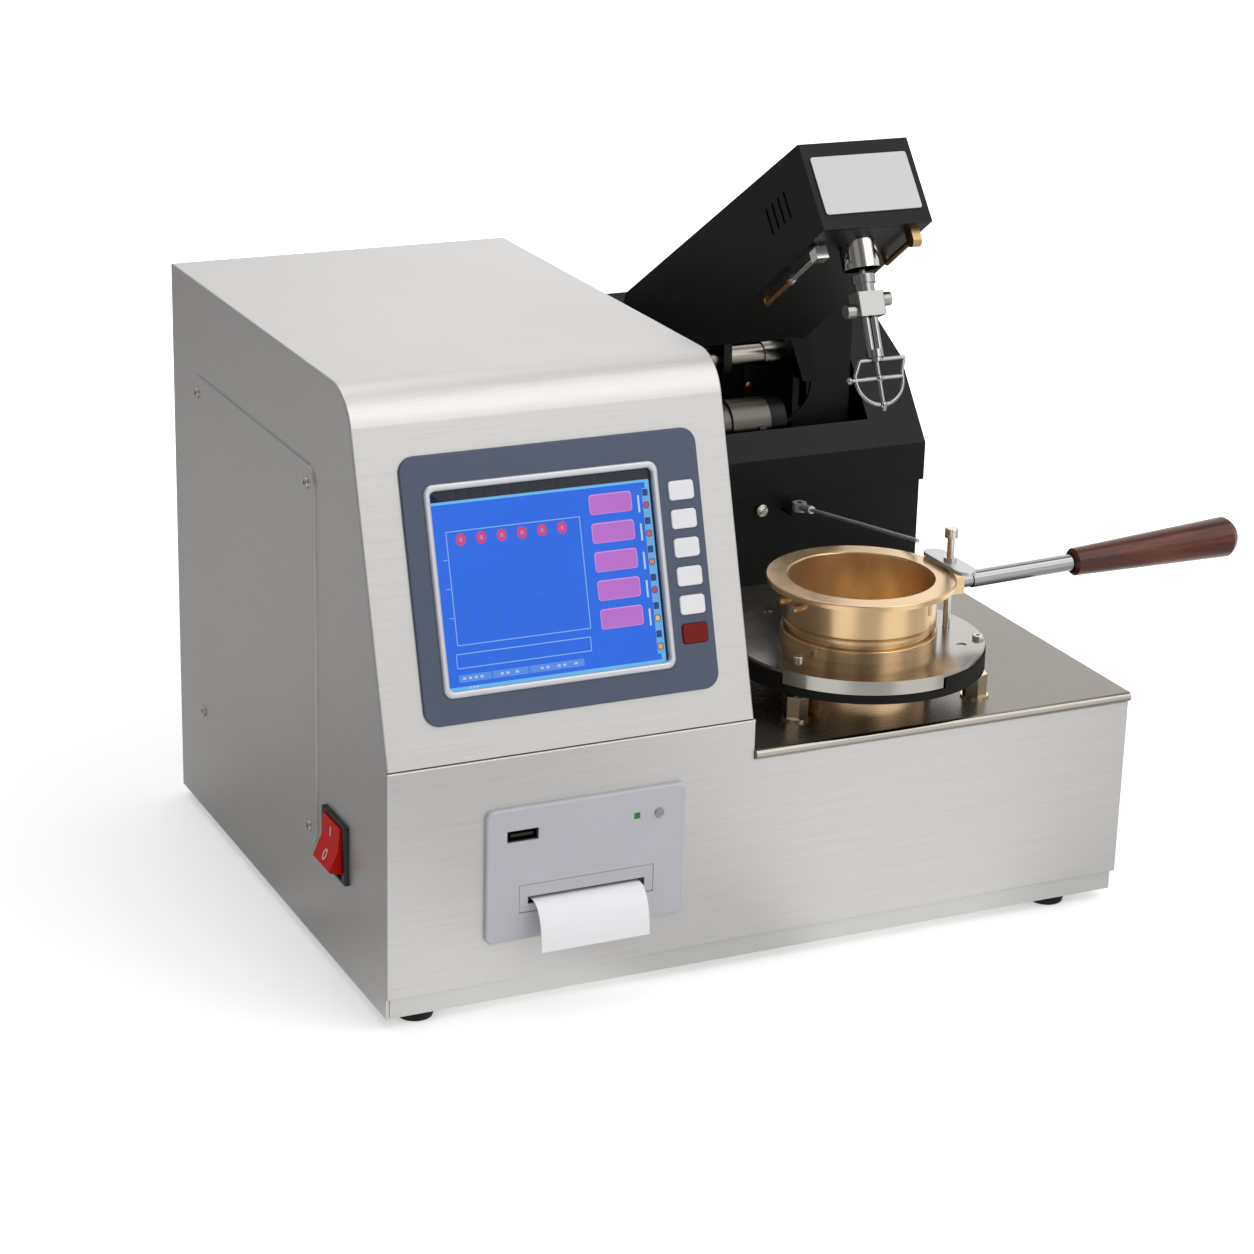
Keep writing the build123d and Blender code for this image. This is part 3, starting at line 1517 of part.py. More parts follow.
shaft_place = side(shaft_back, shaft_up)
bracket_base = deck_top + seat
bracket_floor = bracket_base + bracket_floor_thick
bearing_front = front + shaft_back - bearing_width / 2
with BuildPart() as shaft_bracket:
    with BuildSketch(Plane.XY.offset(bracket_base)):
        with Locations((housing_right + bearing_left, front + bracket_front)):
            Rectangle(post_right - bearing_left, bracket_rear - bracket_front, align=Align.MIN)
    extrude(amount=bracket_floor_thick)
    for across in (bearing_left, bearing_right):
        with BuildSketch(Plane.YZ.offset(housing_right + across)) as bearing_face:
            with BuildLine():
                Polyline(
                    (bearing_front, bracket_base),
                    (bearing_front, base + bearing_up),
                    (bearing_front + bearing_width, base + bearing_up),
                    (bearing_front + bearing_width, bracket_base),
                    close=True,
                )
            make_face()
            fillet(bearing_face.vertices().sort_by(Axis.Y)[-2:], radius=bearing_corner)
            with Locations(shaft_place):
                Circle(shaft_radius + pin_fit, mode=Mode.SUBTRACT)
        extrude(amount=bearing_thick)
    with BuildSketch(Plane.XZ.offset(-(front + post_back + post_thick))):
        with BuildLine():
            Polyline(
                (housing_right + post_foot_beyond, bracket_base),
                (housing_right + post_foot_beyond, base + shaft_up - bearing_width),
                (housing_right + post_reach, base + shaft_up - bearing_width),
                (housing_right + post_reach, base + post_shoulder_up),
                (housing_right + post_left, base + post_up),
                (housing_right + post_right, base + post_up),
                (housing_right + post_right, bracket_base),
                close=True,
            )
        make_face()
    extrude(amount=post_thick)
    with BuildSketch(Plane.XZ.offset(-(front + back_plate_back + post_thick))):
        with Locations((housing_right + back_plate_left, bracket_base)):
            Rectangle(
                back_plate_right - back_plate_left, base + back_plate_up - bracket_base, align=Align.MIN
            )
    extrude(amount=post_thick)
shaft_bracket.part.label = "shaft_bracket"
export_step(shaft_bracket.part, "parts/shaft_bracket.step")


def tooth_points(pitch_radius):
    """Corners of one straight-sided gear tooth that points along the first axis."""
    half = pi * gear_module / 4 - gear_backlash / 4
    slope = tan(radians(gear_pressure_angle))
    root = pitch_radius - gear_root
    tip = pitch_radius + gear_tip
    wide = half + gear_root * slope
    narrow = half - gear_tip * slope
    inner = root - gear_tip
    return [(inner, -wide), (root, -wide), (tip, -narrow), (tip, narrow), (root, wide), (inner, wide)]


gear_radius = gear_module * gear_teeth / 2
pinion_radius = gear_module * pinion_teeth / 2
motor_distance = gear_radius + pinion_radius
motor_place = (
    shaft_place[0] + motor_distance * cos(radians(motor_angle)),
    shaft_place[1] + motor_distance * sin(radians(motor_angle)),
)
shaft_plane = Plane(origin=(housing_right + shaft_left, *shaft_place), x_dir=(0, 1, 0), z_dir=(1, 0, 0))
with BuildPart() as drive_shaft:
    with BuildSketch(shaft_plane):
        Circle(shaft_radius)
    extrude(amount=shaft_right - shaft_left)
    with BuildSketch(shaft_plane.offset(shaft_collar_left - shaft_left)):
        Circle(shaft_collar_radius)
    extrude(amount=shaft_collar_right - shaft_collar_left)
    with BuildSketch(shaft_plane.offset(gear_left - shaft_left)):
        Circle(gear_radius - gear_root)
        with PolarLocations(0, gear_teeth, start_angle=motor_angle):
            Polygon(*tooth_points(gear_radius), align=None)
    extrude(amount=gear_width)
drive_shaft.part.label = "drive_shaft"
export_step(drive_shaft.part, "parts/drive_shaft.step")

pinion_turn = motor_angle + 180 + 180 / pinion_teeth
motor_plane = Plane(origin=(housing_right + gear_left, *motor_place), x_dir=(0, 1, 0), z_dir=(1, 0, 0))
motor_reach = motor_left - gear_left
with BuildPart() as lift_pinion:
    with BuildSketch(motor_plane):
        Circle(pinion_radius - gear_root)
        with PolarLocations(0, pinion_teeth, start_angle=pinion_turn):
            Polygon(*tooth_points(pinion_radius), align=None)
    extrude(amount=gear_width)
    with BuildSketch(motor_plane):
        Circle(motor_shaft_radius)
    extrude(amount=motor_reach + motor_bore_depth - gap)
lift_pinion.part.label = "lift_pinion"
export_step(lift_pinion.part, "parts/lift_pinion.step")

can_plane = motor_plane.offset(motor_reach)
motor_foot_low = bracket_floor + seat
with BuildPart() as gear_motor:
    with BuildSketch(can_plane):
        Circle(motor_can_radius)
    extrude(amount=motor_can_length)
    with BuildSketch(can_plane.offset(motor_can_length)):
        Circle(motor_bell_radius)
    extrude(amount=motor_bell_length)
    with BuildSketch(*[Plane.YZ.offset(housing_right + across) for across in motor_foot_places]):
        with BuildLine():
            Polyline(
                (motor_place[0] - motor_foot_width / 2, motor_foot_low),
                (motor_place[0] - motor_foot_width / 2, motor_place[1]),
                (motor_place[0] + motor_foot_width / 2, motor_place[1]),
                (motor_place[0] + motor_foot_width / 2, motor_foot_low),
                close=True,
            )
        make_face()
    extrude(amount=motor_foot_thick)
    with BuildSketch(can_plane):
        Circle(motor_shaft_radius + pin_fit)
    extrude(amount=motor_bore_depth, mode=Mode.SUBTRACT)
    sensor_corners = (sensor_top_left, sensor_top_right, sensor_low_right, sensor_low_left)
    with BuildSketch(Plane.XZ.offset(-(front + sensor_front))):
        with BuildLine():
            Polyline(*[(housing_right + across, base + up) for across, up in sensor_corners], close=True)
        make_face()
    extrude(amount=front + sensor_front + seat - bearing_front)
    with BuildLine() as lead_path:
        Bezier(
            (housing_right + lead_start[0], *side(*lead_start[1:])),
            (housing_right + lead_bend[0], *side(*lead_bend[1:])),
            (housing_right + lead_turn[0], *side(*lead_turn[1:])),
            (housing_right + lead_end[0], *side(*lead_end[1:])),
        )
    with BuildSketch(Plane(origin=lead_path.line @ 0, z_dir=lead_path.line % 0)):
        Circle(lead_radius)
    sweep(path=lead_path.line)
gear_motor.part.label = "gear_motor"
export_step(gear_motor.part, "parts/gear_motor.step")

# ==== Test head, as it stands tilted up ====

face_low = side(face_low_back, face_low_up)
face_high = (
    face_low[0] + face_length * sin(radians(face_angle)),
    face_low[1] + face_length * cos(radians(face_angle)),
)
top_rear = (
    face_high[0] + head_top_length * cos(radians(head_top_angle)),
    face_high[1] - head_top_length * sin(radians(head_top_angle)),
)
tail = side(head_tail_back, head_tail_up)
under_run = (cos(radians(head_under_angle)), -sin(radians(head_under_angle)))
under_fall = (under_run[1], -under_run[0])


def under(station, depth=0):
    """Point seen from the side: a distance along the head's lower edge, and a distance below it."""
    return (
        face_low[0] + station * under_run[0] + depth * under_fall[0],
        face_low[1] + station * under_run[1] + depth * under_fall[1],
    )


knee = under(head_under_length)
rear_length = hypot(tail[0] - knee[0], tail[1] - knee[1])
rear_run = ((tail[0] - knee[0]) / rear_length, (tail[1] - knee[1]) / rear_length)


def behind(station, rise=0):
    """Point seen from the side: a distance behind the knee of the head's lower edge, and a height above."""
    return (
        knee[0] + station * rear_run[0] - rise * rear_run[1],
        knee[1] + station * rear_run[1] + rise * rear_run[0],
    )


head_left = cup_x - head_width / 2
head_right = cup_x + head_width / 2
head_outline = [face_low, face_high, top_rear, tail, knee]
vent_plane = Plane(
    origin=(head_left, *side(head_vent_back, head_vent_up)),
    x_dir=(0, cos(radians(head_vent_angle)), -sin(radians(head_vent_angle))),
    z_dir=(1, 0, 0),
)
with BuildPart() as head_cover:
    with BuildSketch(Plane.YZ.offset(head_left)):
        with BuildLine():
            Polyline(face_low, face_high, top_rear, tail)
            offset(amount=head_sheet, side=Side.RIGHT)
        make_face()
    extrude(amount=head_width)
    with BuildSketch(Plane.YZ.offset(head_left), Plane.YZ.offset(head_right - head_sheet)):
        with BuildLine():
            Polyline(*head_outline, close=True)
        make_face()
    extrude(amount=head_sheet)
    with BuildSketch(vent_plane):
        with GridLocations(head_vent_pitch, 1, head_vent_count, 1):
            SlotOverall(head_vent_length, head_vent_width, rotation=90 - face_angle + head_vent_angle)
    extrude(amount=head_width, mode=Mode.SUBTRACT)
    upper_edges = [e for e in head_cover.edges().filter_by(Axis.X) if (e @ 0.5).Z > face_low[1]]
    bend = [e for e in upper_edges if (e @ 0.5 - Vector(cup_x, *face_high)).length < seat]
    fillet(bend, radius=head_edge_radius)
head_cover.part.label = "head_cover"
export_step(head_cover.part, "parts/head_cover.step")

plate_width = head_width - 2 * (head_sheet + seat)
base_plate_end = head_under_length - base_plate_start
head_base_outline = [
    under(base_plate_start),
    under(base_plate_end),
    under(base_plate_end, -under_plate_thick),
    under(base_plate_start, -under_plate_thick),
]
arm_station = (shaft_place[0] - knee[0]) * rear_run[0] + (shaft_place[1] - knee[1]) * rear_run[1]
arm_outline = [
    under(arm_root_station, -under_plate_thick / 2),
    under(base_plate_end, -under_plate_thick / 2),
    behind(arm_station - arm_hub_radius),
    (shaft_place[0] - arm_hub_radius, shaft_place[1]),
    (shaft_place[0] + arm_hub_radius, shaft_place[1]),
    behind(arm_station + arm_hub_radius, arm_rear_rise),
]
arm_left = cup_x - arm_spacing / 2 - arm_thick / 2
arm_right = cup_x + arm_spacing / 2 - arm_thick / 2
arm_planes = (Plane.YZ.offset(arm_left), Plane.YZ.offset(arm_right))
probe_origin = Vector(cup_x, *side(probe_back, probe_up))
tilt = radians(probe_tilt)
probe_plane = Plane(origin=probe_origin, x_dir=(1, 0, 0), z_dir=(0, -sin(tilt), -cos(tilt)))
with BuildPart() as head_base:
    with BuildSketch(Plane.YZ.offset(cup_x - plate_width / 2)):
        with BuildLine():
            Polyline(*head_base_outline, close=True)
        make_face()
    extrude(amount=plate_width)
    with BuildSketch(*arm_planes):
        with BuildLine():
            Polyline(*arm_outline, close=True)
        make_face()
        with Locations(shaft_place):
            Circle(arm_hub_radius)
    extrude(amount=arm_thick)
    with BuildSketch(*arm_planes):
        with Locations(shaft_place):
            Circle(shaft_radius + mesh_fit)
    extrude(amount=arm_thick, mode=Mode.SUBTRACT)
    with BuildSketch(probe_plane):
        Circle(stem_rod_radius + pin_fit)
    extrude(amount=can_length, both=True, mode=Mode.SUBTRACT)
head_base.part.label = "head_base"
export_step(head_base.part, "parts/head_base.step")

label_centre = (
    face_low[0] + label_up * sin(radians(face_angle)),
    face_low[1] + label_up * cos(radians(face_angle)),
)
label_plane = Plane(
    origin=(cup_x, *label_centre),
    x_dir=(1, 0, 0),
    z_dir=(0, -cos(radians(face_angle)), sin(radians(face_angle))),
)
with BuildPart() as label_plate:
    with BuildSketch(label_plane.offset(seat)):
        RectangleRounded(label_width, label_length, label_corner)
    extrude(amount=label_thick)
label_plate.part.label = "label_plate"
export_step(label_plate.part, "parts/label_plate.step")

# ==== Probe, flash ring and gas pipes under the head ====

with BuildPart() as probe_stem:
    with BuildSketch(probe_plane.offset(-can_rise)):
        Circle(can_radius)
    extrude(amount=can_length + can_rise)
    with BuildSketch(probe_plane.offset(can_length)):
        Circle(can_radius - can_wall)
    extrude(amount=can_wall - can_length, mode=Mode.SUBTRACT)
    split(bisect_by=Plane(origin=(0, *under(0, seat)), x_dir=(1, 0, 0), z_dir=(0, *under_fall)))
    with BuildSketch(probe_plane.offset(-stem_root)):
        Circle(stem_rod_radius)
    extrude(amount=stem_root + clamp_start)
    with BuildSketch(probe_plane.offset(knurl_start)):
        Circle(knurl_radius)
    extrude(amount=knurl_length)
    with BuildSketch(probe_plane.offset(knurl_low_start)):
        Circle(knurl_low_radius)
    extrude(amount=clamp_start - knurl_low_start)
    with BuildSketch(probe_plane.offset(clamp_start)):
        RectangleRounded(clamp_width, clamp_depth, clamp_edge_radius)
    extrude(amount=clamp_length)
    for across, station in clamp_knob_stations:
        knob_centre = probe_plane.from_local_coords((0, 0, station))
        with BuildSketch(Plane(origin=knob_centre, x_dir=(0, 1, 0), z_dir=(1, 0, 0))):
            Circle(clamp_knob_radius)
        extrude(amount=across + copysign(clamp_knob_length, across))
    with BuildSketch(probe_plane.offset(tube_start)):
        SlotCenterToCenter(tube_spacing, 2 * (tube_radius + pin_fit))
    extrude(amount=clamp_length, mode=Mode.SUBTRACT)
probe_stem.part.label = "probe_stem"
export_step(probe_stem.part, "parts/probe_stem.step")

with BuildPart() as temperature_probe:
    with BuildSketch(probe_plane.offset(tube_start + seat)):
        with GridLocations(tube_spacing, 1, 2, 1):
            Circle(tube_radius)
    extrude(amount=tube_end - tube_start)
    with BuildSketch(probe_plane.offset(tube_end)):
        Circle(hub_radius)
    extrude(amount=hub_thick)
    with BuildSketch(probe_plane.offset(tube_end)):
        Circle(needle_radius)
    extrude(amount=needle_end - tube_end)
    fillet(temperature_probe.faces().sort_by(Axis.Z)[0].edges(), radius=needle_round)
temperature_probe.part.label = "temperature_probe"
export_step(temperature_probe.part, "parts/temperature_probe.step")

ring_plane = Plane(origin=probe_origin, x_dir=(1, 0, 0), z_dir=(0, cos(tilt), -sin(tilt)))
with BuildPart() as flash_ring:
    with BuildSketch(probe_plane.offset(tube_end + hub_thick + seat)):
        Circle(ring_hub_radius)
    extrude(amount=ring_hub_thick)
    for turn, knee in ((-1, ring_arm_knee), (1, ring_arm_reach)):
        end = (turn * ring_radius, ring_centre)
        diagonal = ring_radius * sin(radians(45))
        with BuildLine(ring_plane) as ring_path:
            Polyline(
                (0, ring_arm_start),
                (turn * knee, ring_arm_start),
                (turn * ring_radius, ring_centre - ring_hub_thick),
                end,
            )
            ThreePointArc(end, (turn * diagonal, ring_centre + diagonal), (0, ring_centre + ring_radius))
        with BuildSketch(Plane(origin=ring_path.line @ 0, z_dir=(turn, 0, 0))):
            Circle(ring_wire_radius)
        sweep(path=ring_path.wires()[0], transition=Transition.ROUND)
    wire_start = ring_plane.from_local_coords((-ring_wire_left, ring_centre, 0))
    with BuildSketch(Plane(origin=wire_start, z_dir=(1, 0, 0))):
        Circle(ring_wire_radius)
    extrude(amount=ring_wire_left + ring_radius)
    with Locations(wire_start):
        Sphere(ring_ball_radius)
    for station in (ring_centre, ring_centre + ring_radius):
        with Locations(ring_plane.from_local_coords((0, station, 0))):
            Sphere(ring_eye_radius)
    with BuildSketch(probe_plane.offset(tube_end)):
        Circle(needle_radius + mesh_fit)
    extrude(amount=needle_end - tube_end, mode=Mode.SUBTRACT)
flash_ring.part.label = "flash_ring"
export_step(flash_ring.part, "parts/flash_ring.step")


def pipe_points(x, first, last):
    """Path of a pipe that leaves the head at its last station and runs forward to its first one."""
    return [(x, *under(last, seat)), (x, *under(last, pipe_drop)), (x, *under(first, pipe_drop))]


left_pipe_x = head_left + left_pipe_in
fitting_station, ring_station, left_root_station = left_pipe_stations
along = (0, *under_run)
with BuildPart() as left_gas_pipe:
    with BuildLine() as left_path:
        Polyline(*pipe_points(left_pipe_x, fitting_station, left_root_station))
    with BuildSketch(Plane(origin=left_path.line @ 0, z_dir=left_path.line % 0)):
        Circle(pipe_radius)
    sweep(path=left_path.wires()[0], transition=Transition.ROUND)
    with BuildSketch(Plane(origin=(left_pipe_x, *under(ring_station, pipe_drop)), z_dir=along)):
        Circle(pipe_ring_radius)
    extrude(amount=pipe_ring_length)
    fitting_start = under(fitting_station, pipe_drop)
    with BuildSketch(Plane(origin=(left_pipe_x, *fitting_start), x_dir=(1, 0, 0), z_dir=along)):
        Rectangle(fitting_size, fitting_size)
    extrude(amount=-fitting_length)
    root_start = under(fitting_station - fitting_length / 2, seat)
    with BuildSketch(Plane(origin=(left_pipe_x, *root_start), x_dir=(1, 0, 0), z_dir=(0, *under_fall))):
        Circle(pipe_radius)
    extrude(amount=pipe_drop)
left_gas_pipe.part.label = "left_gas_pipe"
export_step(left_gas_pipe.part, "parts/left_gas_pipe.step")

right_pipe_x = head_right - right_pipe_in
hook_station, right_root_station = right_pipe_stations
with BuildPart() as right_gas_pipe:
    with BuildLine() as right_path:
        Polyline(*pipe_points(right_pipe_x, hook_station, right_root_station))
    with BuildSketch(Plane(origin=right_path.line @ 0, z_dir=right_path.line % 0)):
        Circle(pipe_radius)
    sweep(path=right_path.wires()[0], transition=Transition.ROUND)
    with BuildSketch(Plane.YZ.offset(right_pipe_x)):
        with BuildLine():
            Polyline(
                under(hook_station - hook_radius, seat),
                under(hook_station + hook_radius, seat),
                under(hook_station + hook_radius, hook_drop - hook_radius),
                under(hook_station - hook_radius, hook_drop - hook_radius),
                close=True,
            )
        make_face()
        with Locations(under(hook_station, hook_drop - hook_radius)):
            Circle(hook_radius)
    extrude(amount=hook_width / 2, both=True)
right_gas_pipe.part.label = "right_gas_pipe"
export_step(right_gas_pipe.part, "parts/right_gas_pipe.step")
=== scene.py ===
"""Looks of an open cup flash point tester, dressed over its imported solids.

Places are worked out in millimetres in the body's own frame, which starts at the front left
corner of its underside with X to the right, Y to the back and Z up, and turned to metres last.
"""

from __future__ import annotations

import logging
import math
from dataclasses import dataclass, field
from enum import Enum
from typing import Callable

import bpy
import numpy as np
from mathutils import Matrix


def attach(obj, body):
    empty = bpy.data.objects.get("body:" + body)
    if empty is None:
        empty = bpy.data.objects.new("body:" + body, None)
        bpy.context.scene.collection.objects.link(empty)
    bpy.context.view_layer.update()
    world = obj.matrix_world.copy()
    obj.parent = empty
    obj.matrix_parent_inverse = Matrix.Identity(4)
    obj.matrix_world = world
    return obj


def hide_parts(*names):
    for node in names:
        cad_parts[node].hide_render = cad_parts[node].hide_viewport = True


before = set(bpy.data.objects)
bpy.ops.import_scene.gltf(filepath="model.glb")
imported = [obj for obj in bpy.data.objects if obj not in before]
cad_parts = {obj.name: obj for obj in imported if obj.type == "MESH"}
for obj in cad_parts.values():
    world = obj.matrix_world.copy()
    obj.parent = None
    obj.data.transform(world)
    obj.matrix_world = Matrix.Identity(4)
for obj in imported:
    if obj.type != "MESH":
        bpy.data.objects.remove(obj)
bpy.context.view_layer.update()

log = logging.getLogger("flash_point_tester")

Colour = tuple[float, float, float]
Point = tuple[float, float, float]

BODY_CORNER = np.array([20.0, 14.0, -6.0])
SEAM_HEIGHT = 130.0
SLOPE_ANGLE = math.atan2(54.0, 175.0)
CUP_CENTRE = (281.8, 50.1)
PROBE_TILT = math.radians(24.5)
PROBE_SPLIT = 0.0127 - 0.0568 * math.sin(PROBE_TILT) - 0.356 * math.cos(PROBE_TILT)


def to_metres(points: np.ndarray) -> np.ndarray:
    """Body millimetres as metres in the part's frame."""
    return (np.asarray(points, float) - BODY_CORNER) / 1000.0


def on_slope(across: np.ndarray, up: np.ndarray, out: np.ndarray) -> np.ndarray:
    """Places on the sloped front, turned from its own plane to the body frame.

    Args:
        across: millimetres from the body's left side.
        up: millimetres up the slope from the seam.
        out: millimetres proud of the slope.

    Returns:
        The points, each up the slope by ``up`` and out along its normal by ``out``.
    """
    across, up, out = np.broadcast_arrays(across, up, out)
    back = up * math.sin(SLOPE_ANGLE) - out * math.cos(SLOPE_ANGLE)
    high = SEAM_HEIGHT + up * math.cos(SLOPE_ANGLE) + out * math.sin(SLOPE_ANGLE)
    return np.stack([across, back, high], -1)


# ---- Shader maths ----


class Value:
    """A number that varies over a surface, wrapped so that sums on it add Math nodes."""

    def __init__(self, paint: "Paint", socket: bpy.types.NodeSocket) -> None:
        """Keeps the node tree's builder and the socket that carries the number."""
        self.paint = paint
        self.socket = socket

    def _math(self, operation: str, first: object, second: object) -> "Value":
        """One Math node on two numbers or values."""
        node = self.paint.node("ShaderNodeMath", {"operation": operation}, {0: first, 1: second})
        return Value(self.paint, node.outputs[0])

    def __add__(self, other: object) -> "Value":
        """Sum."""
        return self._math("ADD", self, other)

    __radd__ = __add__

    def __sub__(self, other: object) -> "Value":
        """Difference."""
        return self._math("SUBTRACT", self, other)

    def __rsub__(self, other: object) -> "Value":
        """Difference from a number."""
        return self._math("SUBTRACT", other, self)

    def __mul__(self, other: object) -> "Value":
        """Product."""
        return self._math("MULTIPLY", self, other)

    __rmul__ = __mul__

    def __gt__(self, other: object) -> "Value":
        """One where this is the larger, and zero elsewhere."""
        return self._math("GREATER_THAN", self, other)

    def __pow__(self, other: object) -> "Value":
        """Power."""
        return self._math("POWER", self, other)

    def __abs__(self) -> "Value":
        """Size without its sign."""
        return self._math("ABSOLUTE", self, 0.0)

    def wave(self) -> "Value":
        """Sine."""
        return self._math("SINE", self, 0.0)

    def clipped(self) -> "Value":
        """Held between nought and one."""
        return self._math("MAXIMUM", self._math("MINIMUM", self, 1.0), 0.0)


class Paint:
    """A material under construction: its node tree, its shader and the few nodes used often."""

    def __init__(self, name: str) -> None:
        """Starts an empty material with one Principled shader.

        Args:
            name: the material's name.
        """
        self.material = bpy.data.materials.new(name)
        self.start(self.material)
        self.shader = self.node("ShaderNodeBsdfPrincipled", {}, {})
        self.output = self.node("ShaderNodeOutputMaterial", {}, {0: self.shader.outputs[0]})

    def start(self, owner: bpy.types.ID) -> None:
        """Empties the node tree of a material or a world, and adds its coordinates."""
        owner.use_nodes = True
        self.tree = owner.node_tree
        self.tree.nodes.clear()
        self.place = self.node("ShaderNodeTexCoord", {}, {})

    @classmethod
    def on_tree(cls, world: bpy.types.World) -> "Paint":
        """A builder on a world's node tree, with its output and without a shader."""
        made = cls.__new__(cls)
        made.start(world)
        made.output = made.node("ShaderNodeOutputWorld", {}, {})
        return made

    def node(self, kind: str, settings: dict, inputs: dict) -> bpy.types.Node:
        """Adds one node.

        Args:
            kind: the node's type.
            settings: its properties, set before its sockets. ``stops`` are a ramp's stops.
            inputs: a number, colour, socket or Value for each named or numbered socket.

        Returns:
            The new node.
        """
        made = self.tree.nodes.new(kind)
        for key, value in settings.items():
            if key == "stops":
                ramp = made.color_ramp
                while len(ramp.elements) < len(value):
                    ramp.elements.new(1.0)
                for stop, (spot, colour) in zip(ramp.elements, value):
                    stop.position = spot
                    stop.color = (*colour, 1.0)
            else:
                setattr(made, key, value)
        for key, value in inputs.items():
            self.feed(made.inputs[key], value)
        return made

    def feed(self, socket: bpy.types.NodeSocket, value: object) -> None:
        """Puts a number, a colour, a socket or a Value into a socket."""
        if isinstance(value, Value):
            value = value.socket
        if isinstance(value, bpy.types.NodeSocket):
            self.tree.links.new(value, socket)
        elif isinstance(value, tuple) and socket.type == "RGBA":
            socket.default_value = (*value[:3], 1.0)
        else:
            socket.default_value = value

    def set(self, **values: object) -> None:
        """Feeds the Principled shader's sockets, named with underscores for spaces."""
        for key, value in values.items():
            self.feed(self.shader.inputs[key.replace("_", " ")], value)

    def stretched(self, scale: Point, turn: Point = (0.0, 0.0, 0.0)) -> bpy.types.NodeSocket:
        """Object coordinates in metres, turned and then scaled on each axis."""
        moved = self.node(
            "ShaderNodeMapping", {"vector_type": "POINT"},
            {"Vector": self.place.outputs["Object"], "Scale": scale, "Rotation": turn},
        )
        return moved.outputs[0]

    def noise(
        self, scale: Point, detail: float = 2.0, rough: float = 0.5, turn: Point = (0.0, 0.0, 0.0)
    ) -> Value:
        """Noise between nought and one with a grain of ``scale`` cells a metre on each axis."""
        made = self.node(
            "ShaderNodeTexNoise", {"noise_dimensions": "3D"},
            {"Vector": self.stretched(scale, turn), "Scale": 1.0, "Detail": detail, "Roughness": rough},
        )
        return Value(self, made.outputs[0])

    def axis(self, name: str) -> Value:
        """One object coordinate, in metres."""
        split = self.node("ShaderNodeSeparateXYZ", {}, {0: self.place.outputs["Object"]})
        return Value(self, split.outputs[name])

    def facing(self, name: str) -> Value:
        """How far the surface faces along one axis, less than nought where it faces back."""
        split = self.node("ShaderNodeSeparateXYZ", {}, {0: self.place.outputs["Normal"]})
        return Value(self, split.outputs[name])

    def blend(self, share: object, low: object, high: object) -> bpy.types.NodeSocket:
        """A colour between two, by a share."""
        mixed = self.node(
            "ShaderNodeMix", {"data_type": "RGBA", "clamp_factor": True},
            {0: share, 6: low, 7: high},
        )
        return mixed.outputs[2]

    def bump(self, height: Value, depth: float, strength: float = 1.0) -> None:
        """Raises the surface by ``depth`` metres where ``height`` is one."""
        raised = self.node(
            "ShaderNodeBump", {}, {"Height": height, "Distance": depth, "Strength": strength}
        )
        self.feed(self.shader.inputs["Normal"], raised.outputs[0])


def shade(colour: Colour, factor: float) -> Colour:
    """A colour made lighter or darker by a factor."""
    return tuple(min(1.0, part * factor) for part in colour)


def srgb(red: int, green: int, blue: int) -> Colour:
    """A screen colour as the linear one that shaders take."""
    parts = np.array([red, green, blue]) / 255.0
    linear = np.where(parts <= 0.04045, parts / 12.92, ((parts + 0.055) / 1.055) ** 2.4)
    return tuple(float(part) for part in linear)


# ---- Finishes ----


@dataclass(frozen=True)
class BrushedSheet:
    """Sheet metal with a straight brushed grain that lies level on every face."""

    colour: Colour
    metal: float = 0.8
    rough: float = 0.36
    long_grain: float = 22.0
    fine_grain: float = 1500.0
    contrast: float = 0.045
    depth: float = 0.000015
    # how much glossier the edges are, and how strong their painted highlight and the painted shade where they face down
    edge: float = 0.0

    def paint(self, name: str) -> bpy.types.Material:
        """Level streaks on upright faces, and streaks across on faces that look up. Edges that don't face up are
        glossier, and carry a painted highlight that falls to painted shade where they face down.

        Args:
            name: the material's name.

        Returns:
            The finished material.
        """
        paint = Paint(name)
        low, high = self.long_grain, self.fine_grain
        upright = paint.noise((low, low, high), 3.0, 0.62)
        flat = paint.noise((low, high, high), 3.0, 0.62)
        upward = paint.facing("Z")
        level = abs(upward)
        looks_up = level > 0.8
        grain = upright + looks_up * (flat - upright)
        cloud = paint.noise((6.0, 6.0, 9.0), 3.0, 0.55)
        tone = ((grain - 0.5) * 1.6 + 0.5).clipped()
        # edges that don't face up: glossier, and lighter in colour as a painted highlight
        polish_and_painted_highlight = (1.0 - level).clipped() * self.edge
        # painted shade under the edges: nought where a face looks down, one where it looks level or up
        painted_underside_shade = ((upward + 0.45) * 2.2).clipped()
        sheet = paint.blend(
            tone, shade(self.colour, 1.0 - self.contrast), shade(self.colour, 1.0 + self.contrast)
        )
        paint.set(
            Base_Color=paint.blend(
                polish_and_painted_highlight,
                sheet,
                paint.blend(painted_underside_shade, shade(self.colour, 0.12), shade(self.colour, 1.0 + self.edge)),
            ),
            Metallic=polish_and_painted_highlight * (1.0 - self.metal) + self.metal,
            Roughness=tone * 0.1 + (cloud - 0.5) * 0.1 + self.rough - 0.07 - polish_and_painted_highlight * (self.rough - 0.09),
        )
        paint.bump(grain, self.depth, 0.6)
        return paint.material


